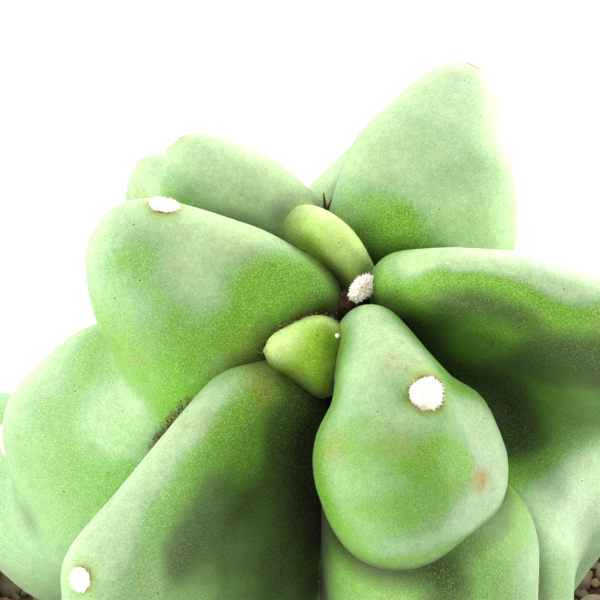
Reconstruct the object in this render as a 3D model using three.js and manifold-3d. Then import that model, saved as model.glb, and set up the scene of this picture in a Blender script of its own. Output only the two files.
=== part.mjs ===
// A potted senita cactus of the knobbly, spineless kind: stem, wool, gravel, soil and clay pot.
// Millimetres, +Z up. The origin is the centre of the pot's foot, on the surface that it stands on.
import * as THREE from "three";
import { ConvexGeometry } from "three/addons/geometries/ConvexGeometry.js";
import { mergeVertices } from "three/addons/utils/BufferGeometryUtils.js";
import Module from "manifold-3d";

// Driving dimensions
const potHeight = 118;
const rimRadius = 66;
const footRadius = 44;
const wallThickness = 4.5;
const floorThickness = 6;
const collarHeight = 26;
const collarProud = 2.5;
const edgeRound = 1.2;
const drainRadius = 8;
const gravelBelowRim = 7;
const gravelDepth = 8;
const crownAboveGravel = 77; // the growing point, in the middle of the top
const padRadius = 2.2;
const padHeight = 1.7;
const padSunk = 0.7; // how deep a wool pad sits in its areole
const gap = 0.3; // between pieces that touch

const potSegments = 44;
const padSegments = 8;
const ballDetail = 1;

const wasm = await Module();
wasm.setup();

// Joining and cutting
function solidFrom(geometry) {
  const bare = geometry.clone();
  bare.deleteAttribute("normal");
  bare.deleteAttribute("uv");
  const merged = mergeVertices(bare, 1e-4);
  return new wasm.Manifold(
    new wasm.Mesh({
      numProp: 3,
      vertProperties: merged.getAttribute("position").array,
      triVerts: new Uint32Array(merged.index.array),
    }),
  );
}

function geometryFrom(solid) {
  const mesh = solid.getMesh();
  const geometry = new THREE.BufferGeometry();
  geometry.setAttribute("position", new THREE.BufferAttribute(mesh.vertProperties, 3));
  geometry.setIndex(new THREE.BufferAttribute(mesh.triVerts, 1));
  geometry.computeVertexNormals();
  return geometry;
}

const joined = (solids) => solids.reduce((all, next) => all.add(next));

const part = new THREE.Group();
part.name = "potted_senita_cactus";

function addPiece(name, geometry, material) {
  const mesh = new THREE.Mesh(geometry, material);
  mesh.name = name;
  part.add(mesh);
  return mesh;
}

const finish = (color, roughness) =>
  new THREE.MeshStandardMaterial({ color, roughness, metalness: 0, flatShading: true });
const clay = finish(0xb5694a, 0.85);
const earth = finish(0x4a3a2e, 0.95);
const stones = finish(0xd9bfa6, 0.8);
const skin = finish(0x7fb562, 0.45);
const wool = finish(0xece6dc, 0.95);
const dryBristle = finish(0x4b3426, 0.7);

// Heights
const gravelTop = potHeight - gravelBelowRim;
const soilTop = gravelTop - gravelDepth;
const crown = gravelTop + crownAboveGravel;

// The stem is a set of tubercles. Each one is the taut hull of a few balls,
// given as [x, y, height, radius] from the growing point.
const tubercles = {
  youngCrescent: [
    [-5.6, 10, 4.6, 3.4],
    [-3.5, 8.1, 5.7, 3.4],
    [-1.5, 5.8, 6, 3.3],
    [0.2, 4.3, 5, 3],
    [1.4, 3, 3.6, 2.7],
    [-3.7, 9.9, -4, 5],
    [0, 4, -4, 4],
  ],
  youngTip: [[-8.5, -11.6, 4, 2.6], [-3.8, -10.4, 4, 4], [-3.8, -12.6, 1, 3.6], [-3.5, -4.8, -4, 5]],
  left: [
    [-5.8, -0.4, 2, 5.1],
    [-14.5, 2.4, 4, 6.6],
    [-27.2, 3.9, 5, 8.6],
    [-25.7, 1.5, 1, 9.6],
    [-7, -0.3, -4, 7],
    [-20.4, -1.6, -8, 10.5],
  ],
  leftMiddle: [
    [-28.3, 0.2, -22, 12],
    [-40, -1.9, -26, 10],
    [-36.3, -6.5, -38, 12],
    [-34.3, 3, -22, 9],
    [-30, 6, -34, 11],
  ],
  leftLow: [[-42, -1, -46, 14], [-53, 6, -47, 11.5], [-44, 1, -58, 11], [-36, 4, -60, 12]],
  frontLeft: [
    [-7.9, -13.3, -3, 4.7],
    [-14.5, -17.2, -0.5, 4.6],
    [-19.1, -24.8, -1, 5.2],
    [-30.1, -41.5, -5, 6.6],
    [-8, -14.5, -9, 5.5],
    [-10.5, -18, -20, 6.8],
    [-23, -31, -22, 8],
    [-30, -37.5, -20, 8],
    [-7.2, -21.5, -31, 6.4],
    [-14, -30, -38, 8],
  ],
  frontLeftMiddle: [[-26, -27, -36, 10.5], [-30, -34, -42, 10.5], [-24, -29, -50, 12]],
  frontLeftLow: [[-24, -27, -54, 12], [-27, -35, -60, 10], [-25, -27, -72, 10]],
  front: [
    [3.2, -9.2, 4, 4.5],
    [4.6, -19.7, 3, 7.6],
    [5.8, -26.1, -1, 10.4],
    [7, -28.1, -5, 10.2],
    [14, -25.7, -6, 7.2],
  ],
  frontShoulder: [[13.7, -20, -1, 6.6], [13.5, -23.8, -5, 8], [7.4, -19, -8, 8]],
  frontMiddle: [
    [9.4, -26.4, -14, 12],
    [13, -28.1, -20, 13.5],
    [11.6, -29.1, -30, 14.4],
    [12.5, -31.7, -42, 15],
  ],
  frontLow: [[9, -37, -50, 12.5], [12, -40.5, -60, 11.5], [8.5, -35, -72, 10]],
  right: [
    [8.1, 0.5, 3, 5],
    [14, -2.6, 6.6, 4.9],
    [24, -4.6, 8, 5],
    [35, -7.6, 4.2, 5.8],
    [26, 0.5, -2, 6.5],
    [10.5, 0.8, -2, 6],
    [17.6, 1.6, -10, 7],
    [29.8, 1, -16, 8],
    [40.5, -1, -12, 9],
  ],
  rightChin: [[27, 1, -22, 8.8], [37, 2, -18, 8.5], [22.4, 1, -18, 8.5]],
  frontRight: [[18.4, -15.5, -30, 10], [21.5, -17.2, -34, 11.8], [23.5, -19.9, -56, 12]],
  rightMiddle: [[27, -9, -32, 9.5], [41, 3, -43, 8], [32, -4, -44, 9], [32, 2, -33, 9.5]],
  rightLow: [[33, 4, -54, 9.2], [31, 1, -66, 8], [44, 12, -45, 9.5], [28.5, -4, -60, 9]],
  backRight: [
    [3.3, 12.6, 2, 5.6],
    [8.2, 23.9, 3, 7.4],
    [16.5, 35.6, 3, 6.6],
    [8.2, 16.7, -2, 8],
    [15, 21.8, 0, 9.8],
    [16, 18.4, -6, 9.3],
    [15, 32, -6, 9],
    [10, 20, -12, 9],
  ],
  backRightMiddle: [
    [-0.6, 25.3, -10, 6],
    [8.3, 34.4, -10, 7],
    [16.5, 47.2, -12, 7.4],
    [12, 36, -22, 10.5],
    [9, 26, -26, 11],
  ],
  backRightLow: [[14, 31, -40, 12], [19, 39.5, -48, 10], [14.5, 33, -60, 11]],
  backRightFoot: [[18, 29, -62, 11], [20, 34.5, -70, 9]],
  backLeft: [
    [-8, 13.1, 2, 5.4],
    [-14.1, 17.4, 3, 6.6],
    [-20.3, 22.1, 3, 5.8],
    [-10.6, 15.6, -4, 8],
    [-18.7, 20.5, -4, 7.6],
    [-17, 21, -12, 10],
  ],
  backLeftMiddle: [[-19.3, 31.4, -18, 8], [-27.3, 38, -17.6, 5.8], [-23, 31, -28, 10], [-16, 24, -24, 10]],
  backLeftLow: [[-18.5, 29.5, -44, 12], [-24.5, 36.5, -52, 10.5], [-22, 28.5, -62, 11]],
  backLeftFoot: [[-22, 23, -62, 11], [-27.5, 26.5, -71, 9]],
  heart: [[0, 0, -16, 11], [0, 3, -34, 24], [0, 0, -57, 33], [0, 0, -82, 35], [0, 0, -108, 14]],
};

// A ball at an azimuth in degrees, a distance from the axis, a height and a radius.
function around(azimuth, reach, height, radius) {
  const angle = THREE.MathUtils.degToRad(azimuth);
  return [reach * Math.cos(angle), reach * Math.sin(angle), height, radius];
}

// Each rib runs down under its tubercles and tapers into the soil.
const ribAzimuths = [180, 228, 286, 64, 126];
ribAzimuths.forEach((azimuth, i) => {
  tubercles["rib" + i] = [
    around(azimuth, 17, -12, 8),
    around(azimuth, 30, -32, 11),
    around(azimuth, 34, -54, 13),
    around(azimuth, 27, -84, 12),
    around(azimuth, 14, -104, 9),
  ];
});
tubercles.thinRib = [
  around(2, 17, -12, 8),
  around(2, 27, -32, 11),
  around(2, 27, -54, 11),
  around(2, 25, -84, 11),
  around(2, 16, -104, 9),
];

// The flesh between two ribs
const furrows = [[153, 24], [95, 24], [33, 20], [205, 22]];
furrows.forEach(([azimuth, reach], i) => {
  tubercles["furrow" + i] = [
    around(azimuth, 14, -16, 9),
    around(azimuth, reach, -34, 12),
    around(azimuth, reach + 3, -58, 13),
    around(azimuth, reach, -84, 12),
  ];
});
tubercles.frontFurrow = [
  around(256, 9, -20, 8),
  around(256, 16, -37, 11),
  around(256, 22, -58, 13),
  around(256, 20, -84, 12),
];

function hullOf(balls, grow = 0) {
  const points = [];
  for (const [x, y, height, radius] of balls) {
    const ball = mergeVertices(bareIcosahedron(radius + grow), 1e-4);
    const place = ball.getAttribute("position");
    const middle = new THREE.Vector3(x, y, crown + height);
    for (let i = 0; i < place.count; i++)
      points.push(new THREE.Vector3().fromBufferAttribute(place, i).add(middle));
  }
  return solidFrom(new ConvexGeometry(points));
}

function bareIcosahedron(radius) {
  const ball = new THREE.IcosahedronGeometry(radius, ballDetail);
  ball.deleteAttribute("normal");
  ball.deleteAttribute("uv");
  return ball;
}

const wholeStem = joined(Object.values(tubercles).map((balls) => hullOf(balls)));
const stemSpace = joined(Object.values(tubercles).map((balls) => hullOf(balls, gap)));

// Areoles: each has a point inside its tubercle, from the growing point,
// and the azimuth and elevation in degrees that its wool faces.
const areoles = {
  left: { inside: [-24.2, 5.3, 5], azimuth: 110, elevation: 75 },
  left_middle: { inside: [-40, -2, -26], azimuth: 180, elevation: -15 },
  left_low: { inside: [-53, 6, -47], azimuth: 170, elevation: 20 },
  front_left: { inside: [-27.2, -40.5, -7.5], azimuth: 212, elevation: 42 },
  front_left_middle: { inside: [-26, -34, -38], azimuth: 232, elevation: 5 },
  front_left_low: { inside: [-27, -35, -60], azimuth: 232, elevation: 12 },
  front: { inside: [7.8, -19.4, 3], azimuth: -60, elevation: 56 },
  front_middle: { inside: [12.5, -31.7, -42], azimuth: -68, elevation: 25 },
  front_low: { inside: [12, -40.5, -60], azimuth: -72, elevation: 25 },
  right: { inside: [37, -6, 0], azimuth: -5, elevation: 45 },
  front_right: { inside: [23.5, -20, -56], azimuth: -40, elevation: 15 },
  right_middle: { inside: [41, 3, -43], azimuth: 5, elevation: 20 },
  right_low: { inside: [44, 12, -45], azimuth: 20, elevation: 10 },
  back_right: { inside: [16.5, 35.5, 3], azimuth: 65, elevation: 18 },
  back_right_middle: { inside: [16.5, 47, -12], azimuth: 72, elevation: 20 },
  back_right_low: { inside: [19, 39.5, -48], azimuth: 64, elevation: 15 },
  back_left: { inside: [-20, 22, 3], azimuth: 132, elevation: 15 },
  back_left_middle: { inside: [-27, 37.5, -18], azimuth: 124, elevation: 10 },
  back_left_low: { inside: [-24.5, 36.5, -52], azimuth: 122, elevation: 15 },
};

function direction(azimuth, elevation) {
  const turn = THREE.MathUtils.degToRad(azimuth);
  const rise = THREE.MathUtils.degToRad(elevation);
  return new THREE.Vector3(
    Math.cos(rise) * Math.cos(turn),
    Math.cos(rise) * Math.sin(turn),
    Math.sin(rise),
  );
}

// A wool pad is a thick lens, turned about its own axis, with its middle at the origin.
function lens(radius, height) {
  const shoulder = { out: radius * 0.72, up: height * 0.36 };
  const profile = [
    new THREE.Vector2(0, -height / 2),
    new THREE.Vector2(shoulder.out, -shoulder.up),
    new THREE.Vector2(radius, 0),
    new THREE.Vector2(shoulder.out, shoulder.up),
    new THREE.Vector2(0, height / 2),
  ];
  return new THREE.LatheGeometry(profile, padSegments).rotateX(Math.PI / 2);
}

const stemSurface = new THREE.Mesh(geometryFrom(wholeStem), skin);
const up = new THREE.Vector3(0, 0, 1);
const searchFrom = 40; // outside every tubercle

function padPlace({ inside, azimuth, elevation }) {
  const [x, y, height] = inside;
  const outward = direction(azimuth, elevation);
  const start = new THREE.Vector3(x, y, crown + height).addScaledVector(outward, searchFrom);
  const [hit] = new THREE.Raycaster(start, outward.clone().negate()).intersectObject(stemSurface);
  const middle = hit.point.clone().addScaledVector(outward, padHeight / 2 - padSunk);
  const turn = new THREE.Quaternion().setFromUnitVectors(up, outward);
  return new THREE.Matrix4().compose(middle, turn, new THREE.Vector3(1, 1, 1));
}

const padPockets = [];
for (const [name, areole] of Object.entries(areoles)) {
  const place = padPlace(areole);
  const pad = addPiece("areole_" + name, lens(padRadius, padHeight), wool);
  pad.applyMatrix4(place);
  padPockets.push(solidFrom(lens(padRadius + gap, padHeight + 2 * gap).applyMatrix4(place)));
}

// The oblong tuft of wool on the growing point, between the youngest tubercles
const tuft = { middle: [2.2, -1.4, 5.2], halfSize: [1.15, 2.4, 1.5], turn: -28 };
function tuftBody(grow) {
  const body = new THREE.SphereGeometry(1, 12, 8);
  body.scale(...tuft.halfSize.map((half) => half + grow));
  body.rotateZ(THREE.MathUtils.degToRad(tuft.turn));
  const [x, y, height] = tuft.middle;
  return body.translate(x, y, crown + height);
}
addPiece("crown_wool", tuftBody(0), wool);

// The dry bristles behind the young crescent spread from a small hard knob.
const bristles = { root: [-1.9, 22.7, -4.9], knob: 0.9, thick: 0.22 };
const bristleSpread = [
  { azimuth: -115, elevation: 35, length: 3.2 },
  { azimuth: -60, elevation: 50, length: 2.8 },
  { azimuth: -20, elevation: 48, length: 3 },
  { azimuth: -150, elevation: 60, length: 2.4 },
  { azimuth: 60, elevation: 70, length: 2.6 },
];
function bristleRoot() {
  const [x, y, height] = bristles.root;
  return new THREE.Vector3(x, y, crown + height);
}
function bristleKnob(grow) {
  const root = bristleRoot();
  return new THREE.SphereGeometry(bristles.knob + grow, 8, 6).translate(root.x, root.y, root.z);
}
function bristleHair({ azimuth, elevation, length }) {
  const hair = new THREE.ConeGeometry(bristles.thick, length, 5).translate(0, length / 2, 0);
  const turn = new THREE.Quaternion().setFromUnitVectors(
    new THREE.Vector3(0, 1, 0),
    direction(azimuth, elevation),
  );
  const root = bristleRoot();
  return hair.applyQuaternion(turn).translate(root.x, root.y, root.z);
}
const bristleBody = joined([
  solidFrom(bristleKnob(0)),
  ...bristleSpread.map((hair) => solidFrom(bristleHair(hair))),
]);
addPiece("bristle_tuft", geometryFrom(bristleBody), dryBristle);

// The stem has a shallow seat for each pad and tuft.
const seats = joined([...padPockets, solidFrom(tuftBody(gap)), solidFrom(bristleKnob(gap))]);
addPiece("cactus_stem", geometryFrom(wholeStem.subtract(seats)), skin);

// The pot is turned from one closed profile, because its foot has a drainage hole.
const wallRadius = (height) =>
  footRadius + (rimRadius - collarProud - footRadius) * (height / potHeight);
const innerRadius = (height) => wallRadius(height) - wallThickness;
const collarFoot = potHeight - collarHeight;
const potProfile = [
  [drainRadius, 0],
  [footRadius - edgeRound, 0],
  [footRadius, edgeRound],
  [wallRadius(collarFoot - collarProud), collarFoot - collarProud],
  [wallRadius(collarFoot) + collarProud, collarFoot],
  [rimRadius, potHeight - edgeRound],
  [rimRadius - edgeRound, potHeight],
  [innerRadius(potHeight) + edgeRound, potHeight],
  [innerRadius(potHeight), potHeight - edgeRound],
  [innerRadius(floorThickness), floorThickness],
  [drainRadius, floorThickness],
  [drainRadius, 0],
];
const turned = (profile) =>
  new THREE.LatheGeometry(
    profile.map(([radius, height]) => new THREE.Vector2(radius, height)),
    potSegments,
  ).rotateX(Math.PI / 2);
addPiece("pot", turned(potProfile), clay);

// Soil and gravel fill the pot up to the seat of the stem.
const fill = (bottom, top) =>
  solidFrom(
    turned([
      [0, bottom],
      [innerRadius(bottom) - gap, bottom],
      [innerRadius(top) - gap, top],
      [0, top],
    ]),
  );
const soilBody = fill(floorThickness + gap, soilTop).subtract(stemSpace);
addPiece("potting_soil", geometryFrom(soilBody), earth);
const gravelBody = fill(soilTop + gap, gravelTop).subtract(stemSpace);
addPiece("gravel_top_dressing", geometryFrom(gravelBody), stones);

export default part;
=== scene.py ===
# Potted senita cactus of the knobbly kind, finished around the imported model. Metres, +Z up.
import math
import random

import bmesh
import bpy
import numpy as np
from mathutils import Euler, Matrix, Vector, noise
from mathutils.bvhtree import BVHTree
from mathutils.kdtree import KDTree


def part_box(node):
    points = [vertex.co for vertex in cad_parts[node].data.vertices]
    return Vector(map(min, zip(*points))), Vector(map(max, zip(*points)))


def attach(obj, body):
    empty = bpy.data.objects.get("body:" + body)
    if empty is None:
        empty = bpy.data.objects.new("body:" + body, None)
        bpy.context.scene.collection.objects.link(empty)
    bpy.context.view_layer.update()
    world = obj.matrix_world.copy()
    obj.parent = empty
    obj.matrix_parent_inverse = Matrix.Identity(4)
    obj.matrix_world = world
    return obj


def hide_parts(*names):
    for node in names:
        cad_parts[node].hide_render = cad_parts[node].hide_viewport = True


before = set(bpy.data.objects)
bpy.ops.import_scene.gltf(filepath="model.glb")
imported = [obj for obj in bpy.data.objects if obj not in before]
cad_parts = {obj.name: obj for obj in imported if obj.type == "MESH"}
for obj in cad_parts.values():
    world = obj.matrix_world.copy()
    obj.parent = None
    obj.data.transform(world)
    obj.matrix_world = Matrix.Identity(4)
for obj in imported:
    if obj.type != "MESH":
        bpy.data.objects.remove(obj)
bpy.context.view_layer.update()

scene = bpy.context.scene
mm = 0.001
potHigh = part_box("pot")[1]
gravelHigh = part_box("gravel_top_dressing")[1]
crownAboveGravel = 77 * mm
crown = Vector((0, 0, gravelHigh.z + crownAboveGravel))  # the growing point
areoleNodes = [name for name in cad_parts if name.startswith("areole_")]
view = {
    "elevation": 50, "distance": 0.3, "aimMm": (-6.25, 0.53, 0.44),
    "focalPixels": 2160, "framePixels": 600, "sensor": 36, "nearest": 0.01,
}
light = {
    "boxes": {  # azimuth, elevation and power of each softbox
        "right": (0, 5, 6.7), "backRight": (45, 5, 5.5), "back": (90, 5, 3.6), "backLeft": (135, 5, 2.5),
        "left": (180, 38, 3.4), "frontLeft": (225, 5, 6.5), "front": (270, 38, 0.9),
        "highBack": (90, 38, 2.1), "top": (90, 89, 3.8),
    },
    "size": 0.6, "distance": 0.9,
    "fill": 0.02, "backdrop": 1.0, "backdropTone": (1, 1, 1),
    "floorSize": 4, "floorParts": 4, "floorTone": (0.9, 0.9, 0.9), "floorRough": 0.9, "floorGlow": 0.7,
    "gamma": 0.72,
}


def directionOf(azimuth, elevation):
    turn, rise = math.radians(azimuth), math.radians(elevation)
    return Vector((math.cos(rise) * math.cos(turn), math.cos(rise) * math.sin(turn), math.sin(rise)))


def fromCrown(x, y, height):  # a place given in mm from the growing point
    return crown + Vector((x, y, height)) * mm


# Mesh helpers
def linked(name, mesh):
    piece = bpy.data.objects.new(name, mesh)
    scene.collection.objects.link(piece)
    return piece


def meshFrom(bm, name):
    mesh = bpy.data.meshes.new(name)
    bm.to_mesh(mesh)
    bm.free()
    return mesh


def bake(piece):  # the modifiers' result becomes the plain mesh
    graph = bpy.context.evaluated_depsgraph_get()
    mesh = bpy.data.meshes.new_from_object(piece.evaluated_get(graph))
    piece.modifiers.clear()
    piece.data = mesh
    return piece


def remeshed(piece, voxel):  # one even skin over the piece, with faces this many mm wide
    remesh = piece.modifiers.new("skin", "REMESH")
    remesh.mode = "VOXEL"
    remesh.voxel_size = voxel * mm
    return bake(piece)


def joinedMesh(name, meshes):
    bm = bmesh.new()
    for mesh in meshes:
        bm.from_mesh(mesh)
    return meshFrom(bm, name)


def addWalls(bm, rings):  # faces between each ring of points and the next
    for lower, upper in zip(rings, rings[1:]):
        for side in range(len(lower)):
            after = (side + 1) % len(lower)
            bm.faces.new((lower[side], lower[after], upper[after], upper[side]))


def pointsOf(mesh, what="co"):
    points = np.empty(len(mesh.vertices) * 3)
    mesh.vertices.foreach_get(what, points)
    return points.reshape(-1, 3)


def normalsOf(mesh):
    return pointsOf(mesh, "normal")


def setPoints(mesh, points):
    mesh.vertices.foreach_set("co", points.ravel())
    mesh.update()


def relaxed(mesh, rounds, share=0.5):  # pulls each point towards the middle of its neighbours
    points = pointsOf(mesh)
    edges = np.empty(len(mesh.edges) * 2, dtype=np.int64)
    mesh.edges.foreach_get("vertices", edges)
    first, second = edges[::2], edges[1::2]
    size = len(points)
    neighbours = np.bincount(first, minlength=size) + np.bincount(second, minlength=size)
    share = np.broadcast_to(share, size)[:, None]
    for _ in range(rounds):
        middle = np.empty_like(points)
        for axis in range(3):
            column = points[:, axis]
            middle[:, axis] = np.bincount(first, column[second], size)
            middle[:, axis] += np.bincount(second, column[first], size)
        middle /= neighbours[:, None]
        points += (middle - points) * share
    return points


def noiseAt(points, width):  # a slow noise whose swells are this many mm wide
    scale = 1 / (width * mm)
    return np.array([noise.noise(Vector(point) * scale) for point in points])


def storeMask(mesh, name, values):
    mask = mesh.attributes.new(name, "FLOAT", "POINT")
    mask.data.foreach_set("value", np.clip(values, 0, 1).astype(np.float32))


def triangleCount(mesh):
    return sum(len(face.vertices) - 2 for face in mesh.polygons)


def coat(mesh, material):
    mesh.materials.clear()
    mesh.materials.append(material)


def smoothAll(mesh, sharpAngle=None):
    mesh.polygons.foreach_set("use_smooth", [True] * len(mesh.polygons))
    if sharpAngle is not None:
        mesh.set_sharp_from_angle(angle=math.radians(sharpAngle))
    mesh.update()


# Shader and geometry node helpers
def wire(tree, start, end):
    tree.links.new(start, end)


def put(tree, socket, value):  # wires another socket to this one, or sets its number, colour or place
    if isinstance(value, bpy.types.NodeSocket):
        wire(tree, value, socket)
    elif isinstance(value, tuple) and socket.type == "RGBA":
        socket.default_value = (*value, 1)
    else:
        socket.default_value = value


def add(tree, kind, *inputs, **values):  # small letters name a node's settings, and capitals its inputs
    made = tree.nodes.new(kind)
    for key in [key for key in values if key[0].islower()]:
        setattr(made, key, values.pop(key))
    for socket, value in zip(made.inputs, inputs):
        put(tree, socket, value)
    for key, value in values.items():
        put(tree, made.inputs[key.replace("_", " ")], value)
    return made


def newMaterial(name, **finish):  # the finish holds what is the same all over the surface
    material = bpy.data.materials.new(name)
    material.use_nodes = True
    tree = material.node_tree
    tree.nodes.clear()
    shader = add(tree, "ShaderNodeBsdfPrincipled", **finish)
    add(tree, "ShaderNodeOutputMaterial", Surface=shader.outputs["BSDF"])
    return material, tree, shader


def millimetres(tree):  # object coordinates in millimetres
    place = add(tree, "ShaderNodeTexCoord").outputs["Object"]
    return add(tree, "ShaderNodeVectorMath", place, operation="SCALE", Scale=1 / mm).outputs[0]


def noiseOf(tree, place, scale, detail, rough, seed):
    made = add(
        tree, "ShaderNodeTexNoise", noise_dimensions="4D",
        Vector=place, W=seed, Scale=scale, Detail=detail, Roughness=rough,
    )
    return made.outputs["Fac"]


def spread(tree, value, low, high, toLow=0.0, toHigh=1.0, shape="LINEAR"):
    made = add(tree, "ShaderNodeMapRange", value, low, high, toLow, toHigh, interpolation_type=shape)
    return made.outputs["Result"]


def eased(tree, value, low, high, toLow=0.0, toHigh=1.0):
    return spread(tree, value, low, high, toLow, toHigh, "SMOOTHSTEP")


def cloud(tree, place, scale, detail, rough, seed, *ranges):  # a noise, and how its range is spread
    return spread(tree, noiseOf(tree, place, scale, detail, rough, seed), *ranges)


def maths(tree, operation, first, second):
    return add(tree, "ShaderNodeMath", first, second, operation=operation).outputs[0]


def times(tree, first, second):
    return maths(tree, "MULTIPLY", first, second)


def plus(tree, first, second):
    return maths(tree, "ADD", first, second)


def mixed(tree, factor, first, second, blend="MIX"):
    made = add(tree, "ShaderNodeMix", data_type="RGBA", blend_type=blend)
    for index, value in ((0, factor), (6, first), (7, second)):  # 6 and 7 are the colour sockets
        put(tree, made.inputs[index], value)
    return made.outputs[2]


def layered(tree, colour, *layers):  # lays each tone over the last, as strongly as its mask says
    for mask, tone in layers:
        colour = mixed(tree, mask, colour, tone)
    return colour


def dress(tree, shader, colour, height, bump):  # bump holds its strength and its distance in metres
    strength, distance = bump
    bumps = add(tree, "ShaderNodeBump", Strength=strength, Distance=distance, Height=height)
    wire(tree, colour, shader.inputs["Base Color"])
    wire(tree, bumps.outputs["Normal"], shader.inputs["Normal"])


def maskOf(tree, name):
    return add(tree, "ShaderNodeAttribute", attribute_name=name).outputs["Fac"]


def groupTree(name, kind, inputs, outputs):  # a number is the input's own value, a word its kind of socket
    tree = bpy.data.node_groups.new(name, kind)
    for label, value in inputs.items():
        word = value if isinstance(value, str) else {int: "Int", float: "Float"}[type(value)]
        socket = tree.interface.new_socket(label, in_out="INPUT", socket_type="NodeSocket" + word)
        if word is not value:
            socket.default_value = value
    for label, word in outputs.items():
        tree.interface.new_socket(label, in_out="OUTPUT", socket_type="NodeSocket" + word)
    start = tree.nodes.new("NodeGroupInput")
    end = tree.nodes.new("NodeGroupOutput")
    return tree, start.outputs, end.inputs


# Grain: a fine two-scale height and a matching fleck mask, in millimetres
grainLook = {
    "fine": (3.0, 0.6),  # detail and roughness
    "coarse": (2.0, 0.5),
    "fineShare": 0.45,
    "coarseShare": 0.55,
    "flecks": (0.55, 0.72),
}


def buildGrain():
    inputs = {"Place": "Vector", "Fine": 2.0, "Coarse": 0.3, "Seed": 0.0}
    tree, start, end = groupTree("grain", "ShaderNodeTree", inputs, {"Height": "Float", "Flecks": "Float"})
    fine = noiseOf(tree, start["Place"], start["Fine"], *grainLook["fine"], start["Seed"])
    coarse = noiseOf(tree, start["Place"], start["Coarse"], *grainLook["coarse"], start["Seed"])
    fineHeight = times(tree, fine, grainLook["fineShare"])
    height = plus(tree, fineHeight, times(tree, coarse, grainLook["coarseShare"]))
    wire(tree, height, end["Height"])
    wire(tree, spread(tree, fine, *grainLook["flecks"]), end["Flecks"])
    return tree


grainGroup = buildGrain()


def grainOf(tree, place, fine, coarse, seed):  # sizes per mm
    made = add(
        tree, "ShaderNodeGroup", node_tree=grainGroup, Place=place, Fine=fine, Coarse=coarse, Seed=seed
    )
    return made.outputs["Height"], made.outputs["Flecks"]


def runTree(piece, tree, values):  # sets the named inputs, runs the tree once and keeps the plain mesh
    modifier = piece.modifiers.new(tree.name, "NODES")
    modifier.node_group = tree
    for item in tree.interface.items_tree:
        if item.in_out == "INPUT" and item.name in values:
            modifier[item.identifier] = values[item.name]
    return bake(piece)


def randomFloat(tree, low, high, seed):
    made = add(tree, "FunctionNodeRandomValue", data_type="FLOAT", Seed=seed)
    made.inputs[2].default_value = low
    made.inputs[3].default_value = high
    return made.outputs[1]


def randomVector(tree, low, high, seed):
    return add(tree, "FunctionNodeRandomValue", low, high, data_type="FLOAT_VECTOR", Seed=seed).outputs[0]


def randomTurn(tree, lean, seed):  # a lean to any side, then a spin about the upright
    back = times(tree, lean, -1.0)
    low = add(tree, "ShaderNodeCombineXYZ", back, back).outputs[0]
    high = add(tree, "ShaderNodeCombineXYZ", lean, lean, 2 * math.pi).outputs[0]
    return add(tree, "FunctionNodeEulerToRotation", randomVector(tree, low, high, seed)).outputs[0]


def turnedOn(tree, first, second):  # the second turn is about the first one's own axes
    return add(tree, "FunctionNodeRotateRotation", first, second, rotation_space="LOCAL").outputs[0]


def copies(tree, points, shape, turn, size):
    made = add(tree, "GeometryNodeInstanceOnPoints", Points=points, Instance=shape, Rotation=turn, Scale=size)
    return made.outputs[0]


def sizedTree(name, sizes):  # a geometry tree with these named sizes, a seed and a material
    inputs = {"Geometry": "Geometry", **sizes, "Seed": 1, "Material": "Material"}
    return groupTree(name, "GeometryNodeTree", inputs, {"Geometry": "Geometry"})


copyValues = {  # what all fibres, teeth and stones share
    "tintSeed": 13,
    "fibre": {"taper": 0.35, "crowding": 4.0, "turnSeed": 5, "sizes": (0.6, 1.25), "sizeSeed": 8},
    "tooth": {"lean": 0.35, "turnSeed": 21, "sizes": (0.55, 1.3)},
    "stone": {
        "least": (0.75, 0.62, 0.5), "most": (1.3, 1.0, 0.85), "lean": 0.45, "turnSeed": 31,
        "dents": 0.55, "dentDetail": 2.0,
    },
}


def buildFelt():  # short bent fibres over a cushion that faces up at the origin
    sizes = {"Spacing": 0.15 * mm, "Length": 0.4 * mm, "Width": 0.05 * mm}
    tree, start, end = sizedTree("felt", {**sizes, "Bend": 0.4, "Lean": 0.5, "Lowest": 0.0})
    look = copyValues["fibre"]
    length, width, spacing = start["Length"], start["Width"], start["Spacing"]
    place = add(tree, "GeometryNodeInputPosition").outputs[0]
    height = add(tree, "ShaderNodeSeparateXYZ", place).outputs["Z"]
    above = add(
        tree, "FunctionNodeCompare", height, start["Lowest"], data_type="FLOAT", operation="GREATER_THAN"
    )
    points = add(
        tree, "GeometryNodeDistributePointsOnFaces", distribute_method="POISSON",
        Mesh=start["Geometry"], Selection=above.outputs[0], Distance_Min=spacing,
        Density_Max=maths(tree, "DIVIDE", look["crowding"], maths(tree, "POWER", spacing, 2.0)),
        Seed=start["Seed"],
    )
    fibre = add(
        tree, "GeometryNodeMeshCone", Vertices=3, Side_Segments=2,
        Radius_Top=times(tree, width, look["taper"]), Radius_Bottom=width, Depth=length,
    )
    along = maths(tree, "DIVIDE", height, length)
    sideways = times(tree, maths(tree, "POWER", along, 2.0), start["Bend"])
    offset = add(tree, "ShaderNodeCombineXYZ", times(tree, sideways, length)).outputs[0]
    bent = add(tree, "GeometryNodeSetPosition", Geometry=fibre.outputs["Mesh"], Offset=offset).outputs[0]
    turn = turnedOn(tree, points.outputs["Rotation"], randomTurn(tree, start["Lean"], look["turnSeed"]))
    size = randomFloat(tree, *look["sizes"], look["sizeSeed"])
    finishTree(tree, start, end, copies(tree, points.outputs["Points"], bent, turn, size))
    return tree


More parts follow.
